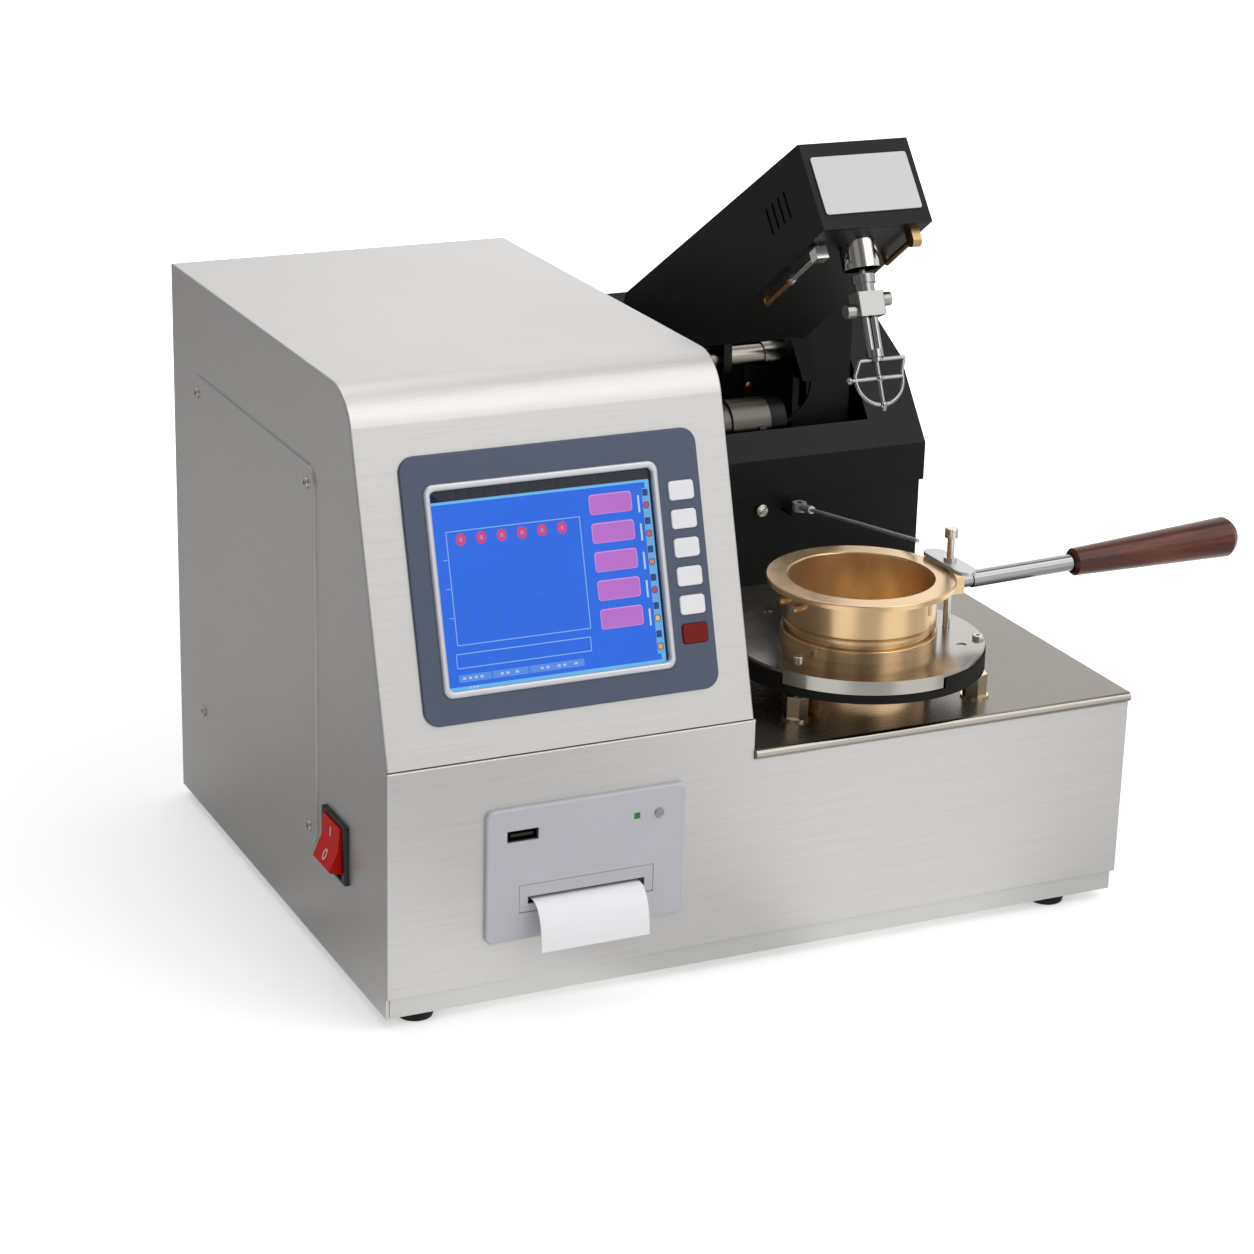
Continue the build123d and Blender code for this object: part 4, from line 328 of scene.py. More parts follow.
@dataclass(frozen=True)
class TurnedMetal:
    """Metal turned on a lathe: fine rings round an upright axis, with a little handling wear."""

    colour: Colour
    rough: float = 0.2
    centre: Point = (0.0, 0.0, 0.0)
    pitch: float = 0.0007
    metal: float = 1.0
    depth: float = 0.00002
    stain: float = 0.12

    def paint(self, name: str) -> bpy.types.Material:
        """Rings by height on the walls and by distance from the axis on the flats."""
        paint = Paint(name)
        across = paint.axis("X") - self.centre[0]
        back = paint.axis("Y") - self.centre[1]
        reach = (across * across + back * back) ** 0.5
        jitter = paint.noise((90.0, 90.0, 900.0), 2.0)
        phase = (reach + paint.axis("Z")) * (2.0 * math.pi / self.pitch) + jitter * 5.0
        rings = phase.wave() * 0.5 + 0.5
        cloud = paint.noise((55.0, 55.0, 30.0), 4.0, 0.6)
        paint.set(
            Base_Color=paint.blend(cloud, shade(self.colour, 1.0 - self.stain), shade(self.colour, 1.05)),
            Metallic=self.metal,
            Roughness=self.rough + rings * 0.05 + (cloud - 0.5) * 0.16,
        )
        paint.bump(rings, self.depth, 0.5)
        return paint.material


@dataclass(frozen=True)
class SatinMetal:
    """Plain machined or plated metal with a soft uneven sheen."""

    colour: Colour
    rough: float = 0.25
    grain: float = 1500.0
    metal: float = 1.0
    depth: float = 0.000004

    def paint(self, name: str) -> bpy.types.Material:
        """Fine noise in the sheen, and broader noise in the colour."""
        paint = Paint(name)
        fine = paint.noise((self.grain,) * 3, 3.0, 0.6)
        broad = paint.noise((self.grain / 8.0,) * 3, 3.0, 0.5)
        paint.set(
            Base_Color=paint.blend(broad, shade(self.colour, 0.92), shade(self.colour, 1.06)),
            Metallic=self.metal,
            Roughness=self.rough + (fine - 0.5) * 0.08 + (broad - 0.5) * 0.08,
        )
        paint.bump(fine, self.depth, 0.5)
        return paint.material


@dataclass(frozen=True)
class SplitMetal:
    """One piece of two plated metals that meet at a plane."""

    before: Colour
    beyond: Colour
    rough_before: float
    rough_beyond: float
    normal: Point
    offset: float
    grain: float = 1500.0

    def paint(self, name: str) -> bpy.types.Material:
        """Each metal on its own side of the plane, with a soft uneven sheen on both."""
        paint = Paint(name)
        along = sum(paint.axis(letter) * part for letter, part in zip("XYZ", self.normal))
        share = along > self.offset
        fine = paint.noise((self.grain,) * 3, 3.0, 0.6)
        broad = paint.noise((self.grain / 10.0,) * 3, 3.0, 0.5)
        paint.set(
            Base_Color=paint.blend(
                broad * 0.2,
                paint.blend(share, self.before, self.beyond),
                paint.blend(share, shade(self.before, 0.7), shade(self.beyond, 0.7)),
            ),
            Metallic=1.0,
            Roughness=self.rough_before + share * (self.rough_beyond - self.rough_before) + (fine - 0.5) * 0.07,
        )
        paint.bump(fine, 0.000004, 0.5)
        return paint.material


@dataclass(frozen=True)
class FineCoat:
    """Baked powder coat: a matt colour over a fine orange-peel grain."""

    colour: Colour
    rough: float = 0.5
    grain: float = 900.0
    depth: float = 0.00006
    gloss: float = 0.2

    def paint(self, name: str) -> bpy.types.Material:
        """A pebbled bump, with broad uneven patches in the sheen and colour."""
        paint = Paint(name)
        peel = paint.noise((self.grain,) * 3, 2.0, 0.55)
        broad = paint.noise((14.0, 14.0, 14.0), 4.0, 0.6)
        paint.set(
            Base_Color=paint.blend(broad, shade(self.colour, 0.85), shade(self.colour, 1.15)),
            Metallic=0.0,
            Roughness=self.rough + (peel - 0.5) * 0.18 + (broad - 0.5) * 0.14,
            Specular_IOR_Level=self.gloss,
        )
        paint.bump(peel, self.depth, 0.5)
        return paint.material


@dataclass(frozen=True)
class MouldedPlastic:
    """Injection-moulded plastic: an even colour, a faint texture and a soft gloss."""

    colour: Colour
    rough: float = 0.42
    grain: float = 1400.0
    depth: float = 0.00002
    spread: float = 0.05
    gloss: float = 0.5

    def paint(self, name: str) -> bpy.types.Material:
        """Spark texture in the bump, and slight flow marks in the colour."""
        paint = Paint(name)
        spark = paint.noise((self.grain,) * 3, 2.0, 0.5)
        flow = paint.noise((30.0, 45.0, 30.0), 3.0, 0.5)
        paint.set(
            Base_Color=paint.blend(flow, shade(self.colour, 1 - self.spread), shade(self.colour, 1 + self.spread)),
            Metallic=0.0,
            Roughness=self.rough + (spark - 0.5) * 0.12 + (flow - 0.5) * 0.08,
            Specular_IOR_Level=self.gloss,
        )
        paint.bump(spark, self.depth, 0.5)
        return paint.material


@dataclass(frozen=True)
class VarnishedWood:
    """Dark turned hardwood under gloss varnish, with its grain along the handle."""

    dark: Colour
    light: Colour
    turn: float = 0.0

    def paint(self, name: str) -> bpy.types.Material:
        """Long streaks from stretched noise, with rings warped through them and open pores."""
        paint = Paint(name)
        turn = (0.0, 0.0, self.turn)
        streak = paint.noise((9.0, 160.0, 160.0), 5.0, 0.62, turn)
        pores = paint.noise((55.0, 1400.0, 1400.0), 3.0, 0.6, turn)
        warp = paint.noise((14.0, 60.0, 60.0), 3.0, 0.5, turn)
        rings = ((streak * 9.0 + warp * 14.0).wave() * 0.5 + 0.5)
        tone = (streak * 0.9 + rings * 0.35 - 0.2).clipped()
        open_pore = ((pores - 0.56) * 9.0).clipped()
        body = paint.blend(tone, self.dark, self.light)
        paint.set(
            Base_Color=paint.blend(open_pore * 0.65, body, shade(self.dark, 0.3)),
            Metallic=0.0,
            Roughness=0.3 + (streak - 0.5) * 0.16 + open_pore * 0.14,
            Specular_IOR_Level=0.3,
            Coat_Weight=0.15,
            Coat_Roughness=0.16,
        )
        paint.bump(pores + streak * 0.4, 0.00005, 0.4)
        return paint.material


@dataclass(frozen=True)
class PaperStock:
    """Thermal paper, near white, with a faint fibre."""

    colour: Colour = (0.97, 0.97, 0.99)

    def paint(self, name: str) -> bpy.types.Material:
        """Fibre noise in the colour and the bump."""
        paint = Paint(name)
        fibre = paint.noise((900.0, 500.0, 900.0), 4.0, 0.6)
        broad = paint.noise((40.0, 40.0, 40.0), 2.0)
        paint.set(
            Base_Color=paint.blend(fibre * 0.5 + broad * 0.5, shade(self.colour, 0.95), self.colour),
            Roughness=0.62 + (fibre - 0.5) * 0.2,
        )
        paint.bump(fibre, 0.00003, 0.4)
        return paint.material


@dataclass(frozen=True)
class TintedGlow:
    """A lit display face: each patch glows in the colour that its own mesh carries."""

    attribute: str = "tint"
    glow: float = 0.68
    share: float = 0.35

    def paint(self, name: str) -> bpy.types.Material:
        """The tint both reflects and glows, under gloss glass, with faint pixel rows."""
        paint = Paint(name)
        tint = paint.node("ShaderNodeAttribute", {"attribute_name": self.attribute}, {}).outputs["Color"]
        rows = (paint.axis("Z") * (2.0 * math.pi / 0.0009)).wave() * 0.5 + 0.5
        haze = paint.noise((18.0, 18.0, 18.0), 3.0, 0.5)
        dimmed = paint.blend((rows * 0.12 + haze * 0.25).clipped(), tint, (0.02, 0.08, 0.35))
        paint.set(
            Base_Color=paint.blend(0.65, dimmed, (0.0, 0.0, 0.0)),
            Emission_Color=dimmed,
            Emission_Strength=self.glow,
            Roughness=0.2 + haze * 0.08,
            Specular_IOR_Level=0.25,
            Coat_Weight=0.1,
            Coat_Roughness=0.05,
        )
        return paint.material


@dataclass(frozen=True)
class CircuitBoard:
    """Green solder mask over faint copper runs."""

    colour: Colour

    def paint(self, name: str) -> bpy.types.Material:
        """Tracks from a stepped wave along one axis, broken up by noise."""
        paint = Paint(name)
        wobble = paint.noise((120.0, 120.0, 120.0), 1.0)
        run = ((paint.axis("X") * 1500.0 + wobble * 6.0).wave() > 0.55) * (wobble > 0.5)
        fine = paint.noise((600.0,) * 3, 2.0)
        paint.set(
            Base_Color=paint.blend(run, self.colour, shade(self.colour, 1.9)),
            Roughness=0.34 + fine * 0.12,
        )
        paint.bump(run + fine * 0.2, 0.00003, 0.5)
        return paint.material


STAINLESS = srgb(200, 198, 196)
BRASS = srgb(222, 190, 144)
NICKEL = srgb(212, 208, 200)
BLACK = srgb(14, 14, 15)


class Coat(Enum):
    """Every finish on the tester, by what it covers."""

    CASE = BrushedSheet(STAINLESS, metal=0.62, rough=0.4, contrast=0.08)
    # DECK and DECK_BEAD: edge gives a painted highlight on their edges and painted shade where the edges face down
    DECK = BrushedSheet(srgb(130, 124, 117), metal=0.85, rough=0.3, contrast=0.05, depth=0.000003, edge=0.8)
    DECK_BEAD = BrushedSheet(srgb(150, 145, 138), metal=1.0, rough=0.2, contrast=0.05, depth=0.000003, edge=0.5)
    TRAY = BrushedSheet(srgb(200, 199, 196), metal=0.6, rough=0.42)
    HOT_PLATE = TurnedMetal(srgb(170, 166, 160), rough=0.13, centre=(0.2618, 0.0361, 0.0))
    BRASS = TurnedMetal(BRASS, rough=0.18, centre=(0.2618, 0.0361, 0.0), metal=0.84)
    CHROME = SatinMetal(srgb(150, 150, 151), rough=0.1)
    NICKEL = SatinMetal(NICKEL, rough=0.24)
    STEEL = SatinMetal(srgb(176, 172, 166), rough=0.3)
    SHAFT_STEEL = SatinMetal(srgb(136, 131, 123), rough=0.26)
    BRONZE = TurnedMetal(srgb(188, 160, 124), rough=0.22, centre=(0.2618, 0.0361, 0.0))
    COPPER = SatinMetal(srgb(196, 140, 104), rough=0.26)
    WARM_NICKEL = SatinMetal(srgb(222, 206, 180), rough=0.16)
    CLAMP_METAL = SatinMetal(srgb(160, 159, 157), rough=0.34)
    GEAR_MOTOR = SplitMetal(srgb(92, 89, 84), srgb(36, 36, 37), 0.36, 0.4, (1.0, 0.0, 0.0), 0.306)
    GAS_BRASS = SatinMetal(srgb(172, 142, 98), rough=0.28)
    ALUMINIUM = SatinMetal(srgb(196, 197, 198), rough=0.36)
    FRAME_METAL = SatinMetal(srgb(200, 201, 205), rough=0.38, metal=0.6)
    BLACK_COAT = FineCoat(BLACK, rough=0.46)
    DARK_STEEL = SatinMetal(srgb(58, 56, 54), rough=0.4)
    BEZEL = MouldedPlastic(srgb(79, 89, 109), rough=0.44, gloss=0.35)
    KEY = MouldedPlastic(srgb(238, 238, 241), rough=0.4)
    STOP_KEY = MouldedPlastic(srgb(120, 16, 14), rough=0.46, gloss=0.2)
    PRINTER = MouldedPlastic(srgb(195, 196, 202), rough=0.44)
    DOOR = MouldedPlastic(srgb(193, 194, 199), rough=0.46)
    GREY_PLASTIC = MouldedPlastic(srgb(150, 151, 155), rough=0.4)
    BLACK_PLASTIC = MouldedPlastic(srgb(26, 26, 28), rough=0.38)
    RED_PLASTIC = MouldedPlastic(srgb(214, 12, 8), rough=0.4, gloss=0.16)
    RUBBER = FineCoat(srgb(24, 24, 25), rough=0.7, grain=700.0)
    BOARD = CircuitBoard(srgb(24, 92, 52))
    MINERAL = FineCoat(srgb(20, 18, 17), rough=0.6, grain=420.0, depth=0.00012, gloss=0.15)
    PAPER = PaperStock()
    MARKING = MouldedPlastic(srgb(235, 235, 235), rough=0.5)
    WOOD = VarnishedWood(srgb(48, 18, 7), srgb(126, 55, 22))
    GAS_PIPE = SplitMetal(srgb(215, 214, 212), srgb(196, 146, 96), 0.16, 0.22, (0.0, 1.0, 0.0), 0.0786)
    PROBE = SplitMetal(
        srgb(190, 187, 183), srgb(152, 151, 149), 0.07, 0.28, (0.0, -math.sin(PROBE_TILT), -math.cos(PROBE_TILT)),
        PROBE_SPLIT,
    )
    SCREEN = TintedGlow()
    SILVER_LABEL = BrushedSheet(srgb(178, 177, 178), metal=0.5, rough=0.42, contrast=0.03)
    GREEN_LAMP = MouldedPlastic(srgb(30, 120, 50), rough=0.3)
    SIEVE_BLACK = MouldedPlastic(srgb(14, 14, 15), rough=0.6)


_mixed: dict[Coat, bpy.types.Material] = {}


def material(coat: Coat) -> bpy.types.Material:
    """The material of a coat, mixed the first time that it is asked for."""
    if coat not in _mixed:
        _mixed[coat] = coat.value.paint(coat.name.lower())
    return _mixed[coat]


# ---- Surfaces ----


def surface(
    name: str, grid: np.ndarray, uv: np.ndarray | None = None, smooth: float = 40.0
) -> bpy.types.Object:
    """A mesh over a grid of points; places that coincide are welded, so seams and poles close.

    Args:
        name: the piece's name.
        grid: rows by columns by three, in body millimetres. Its rows and then its columns turn
            anticlockwise as seen from outside.
        uv: rows by columns by two, where the finish follows the surface.
        smooth: edges sharper than this many degrees stay crisp.

    Returns:
        The object, at the world's origin.
    """
    rows, columns = grid.shape[:2]
    index = np.arange(rows * columns).reshape(rows, columns)
    quads = np.stack([index[:-1, :-1], index[:-1, 1:], index[1:, 1:], index[1:, :-1]], -1).reshape(-1, 4)
    flat = grid.reshape(-1, 3)
    _, first, welded = np.unique(np.round(flat, 4), axis=0, return_index=True, return_inverse=True)
    welded = welded.reshape(-1)
    corners = welded[quads]
    differs = corners != np.roll(corners, 1, axis=1)
    keep = differs.sum(1) >= 3
    faces = [list(face[mask]) for face, mask in zip(corners[keep], differs[keep])]
    mesh = bpy.data.meshes.new(name)
    mesh.from_pydata(to_metres(flat[first]).tolist(), [], faces)
    if uv is not None:
        layer = mesh.uv_layers.new(name="surface")
        picked = np.concatenate([face[mask] for face, mask in zip(quads[keep], differs[keep])])
        layer.data.foreach_set("uv", uv.reshape(-1, 2)[picked].astype(np.float32).ravel())
    return finished(name, mesh, smooth)


def finished(name: str, mesh: bpy.types.Mesh, smooth: float = 40.0) -> bpy.types.Object:
    """Shades a mesh smooth up to an angle and links it as an object at the origin."""
    mesh.shade_smooth()
    mesh.set_sharp_from_angle(angle=math.radians(smooth))
    mesh.update()
    made = bpy.data.objects.new(name, mesh)
    bpy.context.scene.collection.objects.link(made)
    return made


def unit(vector: np.ndarray) -> np.ndarray:
    """A vector, or each of an array of them, at length one."""
    vector = np.asarray(vector, float)
    return vector / np.maximum(np.linalg.norm(vector, axis=-1, keepdims=True), 1e-12)


def basis(axis: Point) -> tuple[np.ndarray, np.ndarray, np.ndarray]:
    """Two directions square to an axis, and the axis, as a right-handed set."""
    along = unit(np.array(axis))
    helper = np.array([0.0, 0.0, 1.0]) if abs(along[2]) < 0.9 else np.array([1.0, 0.0, 0.0])
    first = unit(np.cross(helper, along))
    return first, np.cross(along, first), along


def lathe(
    name: str,
    outline: list[tuple[float, float]],
    centre: Point,
    axis: Point = (0.0, 0.0, 1.0),
    steps: int = 64,
    smooth: float = 40.0,
) -> bpy.types.Object:
    """An outline of (radius, distance along the axis) turned round the axis.

    Args:
        name: the piece's name.
        outline: from the axis round to the axis again, or a closed loop, with the solid on its
            left when the axis points up and the radius to the right.
        centre: where the axis starts, in body millimetres.
        axis: its direction.
        steps: points round the turn.
        smooth: edges sharper than this many degrees stay crisp.

    Returns:
        The piece.
    """
    first, second, along = basis(axis)
    radius, height = np.array(outline, float).T
    turn = np.linspace(0.0, 2.0 * math.pi, steps + 1)
    turn[-1] = 0.0
    ring = np.cos(turn)[:, None] * first + np.sin(turn)[:, None] * second
    grid = np.array(centre) + height[:, None, None] * along + radius[:, None, None] * ring[None]
    return surface(name, grid, smooth=smooth)


def rounded(
    outline: list[tuple[float, float]], radius: float, steps: int = 4, closed: bool = True
) -> list[tuple[float, float]]:
    """An outline with each corner replaced by a quadratic curve that starts ``radius`` away."""
    points = np.array(outline, float)
    count = len(points)
    made: list[tuple[float, float]] = []
    for spot in range(count):
        here = points[spot]
        if not closed and spot in (0, count - 1):
            made.append(tuple(here))
            continue
        before, after = points[spot - 1], points[(spot + 1) % count]
        reach_in = min(radius, np.linalg.norm(before - here) * 0.45)
        reach_out = min(radius, np.linalg.norm(after - here) * 0.45)
        start = here + unit(before - here) * reach_in
        end = here + unit(after - here) * reach_out
        share = np.linspace(0.0, 1.0, steps + 1)[:, None]
        curve = (1 - share) ** 2 * start + 2 * share * (1 - share) * here + share**2 * end
        made.extend(map(tuple, curve))
    return made


def tube(
    name: str, path: np.ndarray, radius: float | np.ndarray, sides: int = 20, closed: bool = False
) -> bpy.types.Object:
    """A round tube along a path, with frames carried along it so that it doesn't twist.

    Args:
        name: the piece's name.
        path: points in body millimetres.
        radius: one, or one for each point.
        sides: points round the tube.
        closed: whether the path joins up. Open ends are closed by discs.

    Returns:
        The piece.
    """
    path = np.asarray(path, float)
    radius = np.broadcast_to(np.asarray(radius, float), (len(path),))
    if closed:
        tangent = unit(np.roll(path, -1, 0) - np.roll(path, 1, 0))
    else:
        tangent = unit(np.gradient(path, axis=0))
    first = basis(tuple(tangent[0]))[0]
    frames = []
    for along in tangent:
        first = unit(first - along * (first @ along))
        frames.append((first, np.cross(along, first)))
    frames = np.array(frames)
    turn = np.linspace(0.0, 2.0 * math.pi, sides + 1)
    turn[-1] = 0.0
    ring = np.cos(turn)[None, :, None] * frames[:, 0:1] + np.sin(turn)[None, :, None] * frames[:, 1:2]
    grid = path[:, None] + radius[:, None, None] * ring
    if closed:
        grid = np.concatenate([grid, grid[:1]])
    else:
        low = np.broadcast_to(path[0], grid[:1].shape)
        high = np.broadcast_to(path[-1], grid[:1].shape)
        grid = np.concatenate([low, grid, high])
    return surface(name, grid)


def smooth_path(points: list[Point], steps: int = 10) -> np.ndarray:
    """A Catmull-Rom curve through a few points, with ``steps`` points to each stretch."""
    given = np.array(points, float)
    padded = np.concatenate([2 * given[:1] - given[1:2], given, 2 * given[-1:] - given[-2:-1]])
    share = np.linspace(0.0, 1.0, steps, endpoint=False)[:, None]
    parts = []
    for spot in range(len(given) - 1):
        before, start, end, after = padded[spot : spot + 4]
        parts.append(
            0.5
            * (
                2 * start
                + (end - before) * share
                + (2 * before - 5 * start + 4 * end - after) * share**2
                + (3 * start - before - 3 * end + after) * share**3
            )
        )
    return np.concatenate([*parts, given[-1:]])


def pad(
    name: str,
    put: Callable[[np.ndarray, np.ndarray, np.ndarray], np.ndarray],
    middle: tuple[float, float],
    size: tuple[float, float],
    low: float,
    high: float,
    corner: float,
    edge: float,
    crown: float = 0.0,
    lean: float = 0.0,
) -> bpy.types.Object:
    """A rounded rectangle that stands proud of a face, with a soft edge and a crowned top.

    Its rings run out from the middle of the top, round the soft edge and down the wall, and in
    again under the foot.

    Args:
        name: the piece's name.
        put: turns (across, up, out) arrays to body millimetres.
        middle: of the rectangle, across and up.
        size: across and up.
        low: how far out its foot is.
        high: how far out its top edge is.
        corner: radius of the four corners.
        edge: radius of the soft edge round the top.
        crown: how much higher the middle of the top is.
        lean: how much smaller the top is on each side than the foot.

    Returns:
        The piece.
    """
    turn = np.linspace(0.0, math.pi / 2, 7)
    arc = np.concatenate([turn + quarter * math.pi / 2 for quarter in range(4)])
    sign_a = np.repeat([1.0, -1.0, -1.0, 1.0], 7)
    sign_b = np.repeat([1.0, 1.0, -1.0, -1.0], 7)
    half = np.array(size) / 2.0

    def ring(inset: float, out: np.ndarray | float) -> np.ndarray:
        """One closed ring, set in from the full outline."""
        radius = max(corner - inset, 0.02)
        across = sign_a * (half[0] - inset - radius) + radius * np.cos(arc)
        up = sign_b * (half[1] - inset - radius) + radius * np.sin(arc)
        loop = put(middle[0] + across, middle[1] + up, np.broadcast_to(out, across.shape))
        return np.concatenate([loop, loop[:1]])

    def centre(out: float) -> np.ndarray:
        """A ring with no size, which closes a face."""
        point = put(np.array([middle[0]]), np.array([middle[1]]), np.array([out]))
        return np.repeat(point, len(arc) + 1, axis=0)

    reach = min(half)
    rings = [centre(high + crown)]
    rings += [
        ring(reach * share + (lean + edge) * (1 - share), high + crown * (1 - (1 - share) ** 2))
        for share in (0.8, 0.6, 0.4, 0.2, 0.08)
    ]
    rings += [
        ring(lean + edge * (1 - math.sin(angle)), high - edge * (1 - math.cos(angle)))
        for angle in np.linspace(0.0, math.pi / 2, 6)
    ]
    rings += [ring(0.0, low), centre(low)]
    return surface(name, np.array(rings), smooth=35.0)


def patches(
    name: str,
    put: Callable[[np.ndarray, np.ndarray, np.ndarray], np.ndarray],
    items: list[tuple[float, float, float, float, float, Colour]],
    out: float,
    step: float,
    wall: float = 0.0,
) -> bpy.types.Object:
    """Flat rounded rectangles in one mesh, each with a tint of its own and each above the last.

    Args:
        name: the piece's name.
        put: turns (across, up, out) arrays to body millimetres.
        items: middle across and up, width, height, corner radius and tint of each.
        out: how far out the first one lies.
        step: how much further out each next one lies.
        wall: depth of a shell under the first patch, which closes it.

    Returns:
        The piece, with its tints in the attribute that TintedGlow reads.
    """
    turn = np.linspace(0.0, math.pi / 2, 5)
    arc = np.concatenate([turn + quarter * math.pi / 2 for quarter in range(4)])
    sign_a = np.repeat([1.0, -1.0, -1.0, 1.0], 5)
    sign_b = np.repeat([1.0, 1.0, -1.0, -1.0], 5)
    points, faces, tints = [], [], []
    for order, (across, up, width, height, corner, tint) in enumerate(items):
        start = sum(len(loop) for loop in points)
        radius = min(corner, width / 2, height / 2)
        loop = put(
            across + sign_a * (width / 2 - radius) + radius * np.cos(arc),
            up + sign_b * (height / 2 - radius) + radius * np.sin(arc),
            np.full(len(arc), out + order * step),
        )
        points.append(loop)
        faces.append(list(range(start, start + len(loop))))
        tints.append(tint)
    if wall > 0.0:
        across, up, width, height, corner, tint = items[0]
        start = sum(len(loop) for loop in points)
        count = len(points[0])
        normal = put(np.array([0.0]), np.array([0.0]), np.array([1.0]))
        normal = normal - put(np.array([0.0]), np.array([0.0]), np.array([0.0]))
        points.append(points[0] - normal * wall)
        ahead = [(spot + 1) % count for spot in range(count)]
        faces += [[spot, start + spot, start + ahead[spot], ahead[spot]] for spot in range(count)]
        faces.append(list(range(start + count - 1, start - 1, -1)))
        tints += [tint] * (count + 1)
    mesh = bpy.data.meshes.new(name)
    mesh.from_pydata(to_metres(np.concatenate(points)).tolist(), [], faces)
    layer = mesh.color_attributes.new(name="tint", type="FLOAT_COLOR", domain="CORNER")
    spread = np.repeat(np.array(tints), [len(face) for face in faces], axis=0)
    layer.data.foreach_set(
        "color", np.concatenate([spread, np.ones((len(spread), 1))], axis=1).astype(np.float32).ravel()
    )
    return finished(name, mesh, 20.0)


def slotted_head(
    name: str, place: Point, axis: Point, radius: float, height: float, turn: float, slot: float
) -> bpy.types.Object:
    """A screw head: a low dome over a short wall, cut by a straight groove.

    Its rings run out from the middle. The height is the dome's, less the groove's depth wherever
    the distance from the groove's middle line is under half its width.

    Args:
        name: the piece's name.
        place: middle of its seat, in body millimetres.
        axis: direction in which it stands out.
        radius: of the head.
        height: of the wall; the dome rises a quarter higher.
        turn: of the groove, in degrees.
        slot: width of the groove.

    Returns:
        The piece.
    """
    first, second, along = basis(axis)
    reach = radius * np.array([0.0, 0.06, 0.13, 0.22, 0.32, 0.42, 0.54, 0.66, 0.78, 0.88, 0.95, 0.99, 1.0, 1.0, 0.0])
    rise = height * (1.25 - 0.25 * (reach / radius) ** 2)
    rise[-4:] = height * np.array([0.95, 0.8, 0.0, 0.0])
    angle = np.linspace(0.0, 2.0 * math.pi, 73)
    angle[-1] = 0.0
    off = np.abs(reach[:, None] * np.sin(angle - math.radians(turn))[None])
    groove = np.clip((slot * 0.5 + 0.06 - off) / 0.06, 0.0, 1.0) * height * 0.6
    groove[-3:] = 0.0
    lift = rise[:, None] - groove
    ring = np.cos(angle)[:, None] * first + np.sin(angle)[:, None] * second
    grid = np.array(place) + lift[:, :, None] * along + reach[:, None, None] * ring[None]
    return surface(name, grid, smooth=30.0)


def joined(name: str, pieces: list[bpy.types.Object]) -> bpy.types.Object:
    """Several objects at the origin as one mesh; the loose ones are removed."""
    meshes = [piece.data for piece in pieces]
    points, faces, start = [], [], 0
    for mesh in meshes:
        found = np.empty(len(mesh.vertices) * 3, np.float32)
        mesh.vertices.foreach_get("co", found)
        points.append(found.reshape(-1, 3))
        faces += [[start + corner for corner in face.vertices] for face in mesh.polygons]
        start += len(mesh.vertices)
    for piece, mesh in zip(pieces, meshes):
        bpy.data.objects.remove(piece)
        bpy.data.meshes.remove(mesh)
    merged = bpy.data.meshes.new(name)
    merged.from_pydata(np.concatenate(points).tolist(), [], faces)
    return finished(name, merged)


def dress(
    piece: bpy.types.Object, coat: Coat, body: str = "body", replaced: tuple[str, ...] = ()
) -> bpy.types.Object:
    """Gives a piece its finish, the body that it rides on and the nodes that it stands for."""
    piece.data.materials.clear()
    piece.data.materials.append(material(coat))
    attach(piece, body)
    if replaced:
        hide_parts(*replaced)
    log.info("%s: %s on %s, %d faces", piece.name, coat.name.lower(), body, len(piece.data.polygons))
    return piece


def coat_nodes(coats: dict[str, Coat]) -> None:
    """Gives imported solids, which keep their meshes, their finishes."""
    for name, coat in coats.items():
        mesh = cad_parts[name].data
        mesh.materials.clear()
        mesh.materials.append(material(coat))
        log.info("%s: %s", name, coat.name.lower())


# ---- Sub-assemblies ----


@dataclass
class Case:
    """The sheet metal shell, its tray, side cover and feet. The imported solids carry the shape."""

    foot_radius: float = 10.0
    foot_height: float = 6.0
    foot_places: tuple[Point, ...] = ((20.0, 14.0, -6.0), (386.0, 14.0, -6.0), (20.0, 312.0, -6.0), (386.0, 312.0, -6.0))
    bead_from: Point = (197.4, 0.0, 111.5)
    bead_to: Point = (419.8, 0.0, 111.5)
    bead_radius: float = 2.4

    def feet(self) -> list[bpy.types.Object]:
        """Four moulded feet: a rolled foot edge and a tapered wall."""
        outline = rounded(
            [
                (0.0, 0.35), (self.foot_radius - 3.4, 0.35), (self.foot_radius - 3.0, 0.0),
                (self.foot_radius - 1.2, 0.0), (self.foot_radius - 0.6, 2.0),
                (self.foot_radius, self.foot_height), (0.0, self.foot_height),
            ],
            0.5, closed=False,
        )
        return [
            lathe(f"foot_{order + 1}", outline, place, steps=40)
            for order, place in enumerate(self.foot_places)
        ]

    def build(self) -> None:
        """Finishes on the shell's solids, the feet and the bead along the deck's front edge."""
        coat_nodes(
            {
                "control_hood": Coat.CASE, "left_side_panel": Coat.CASE, "front_cover": Coat.CASE,
                "right_side_cover": Coat.CASE, "rear_panel": Coat.CASE, "inner_side_wall": Coat.CASE,
                "deck_plate": Coat.DECK, "base_tray": Coat.TRAY, "access_cover": Coat.CASE,
                "access_cover_screws": Coat.NICKEL, "power_supply": Coat.ALUMINIUM,
                "mains_inlet": Coat.BLACK_PLASTIC,
            }
        )
        feet = joined("rubber_foot_set", self.feet())
        dress(feet, Coat.RUBBER, "body", ("rubber_feet",))
        path = np.linspace(self.bead_from, self.bead_to, 40)
        dress(tube("deck_bead", path, self.bead_radius, 28), Coat.DECK_BEAD)


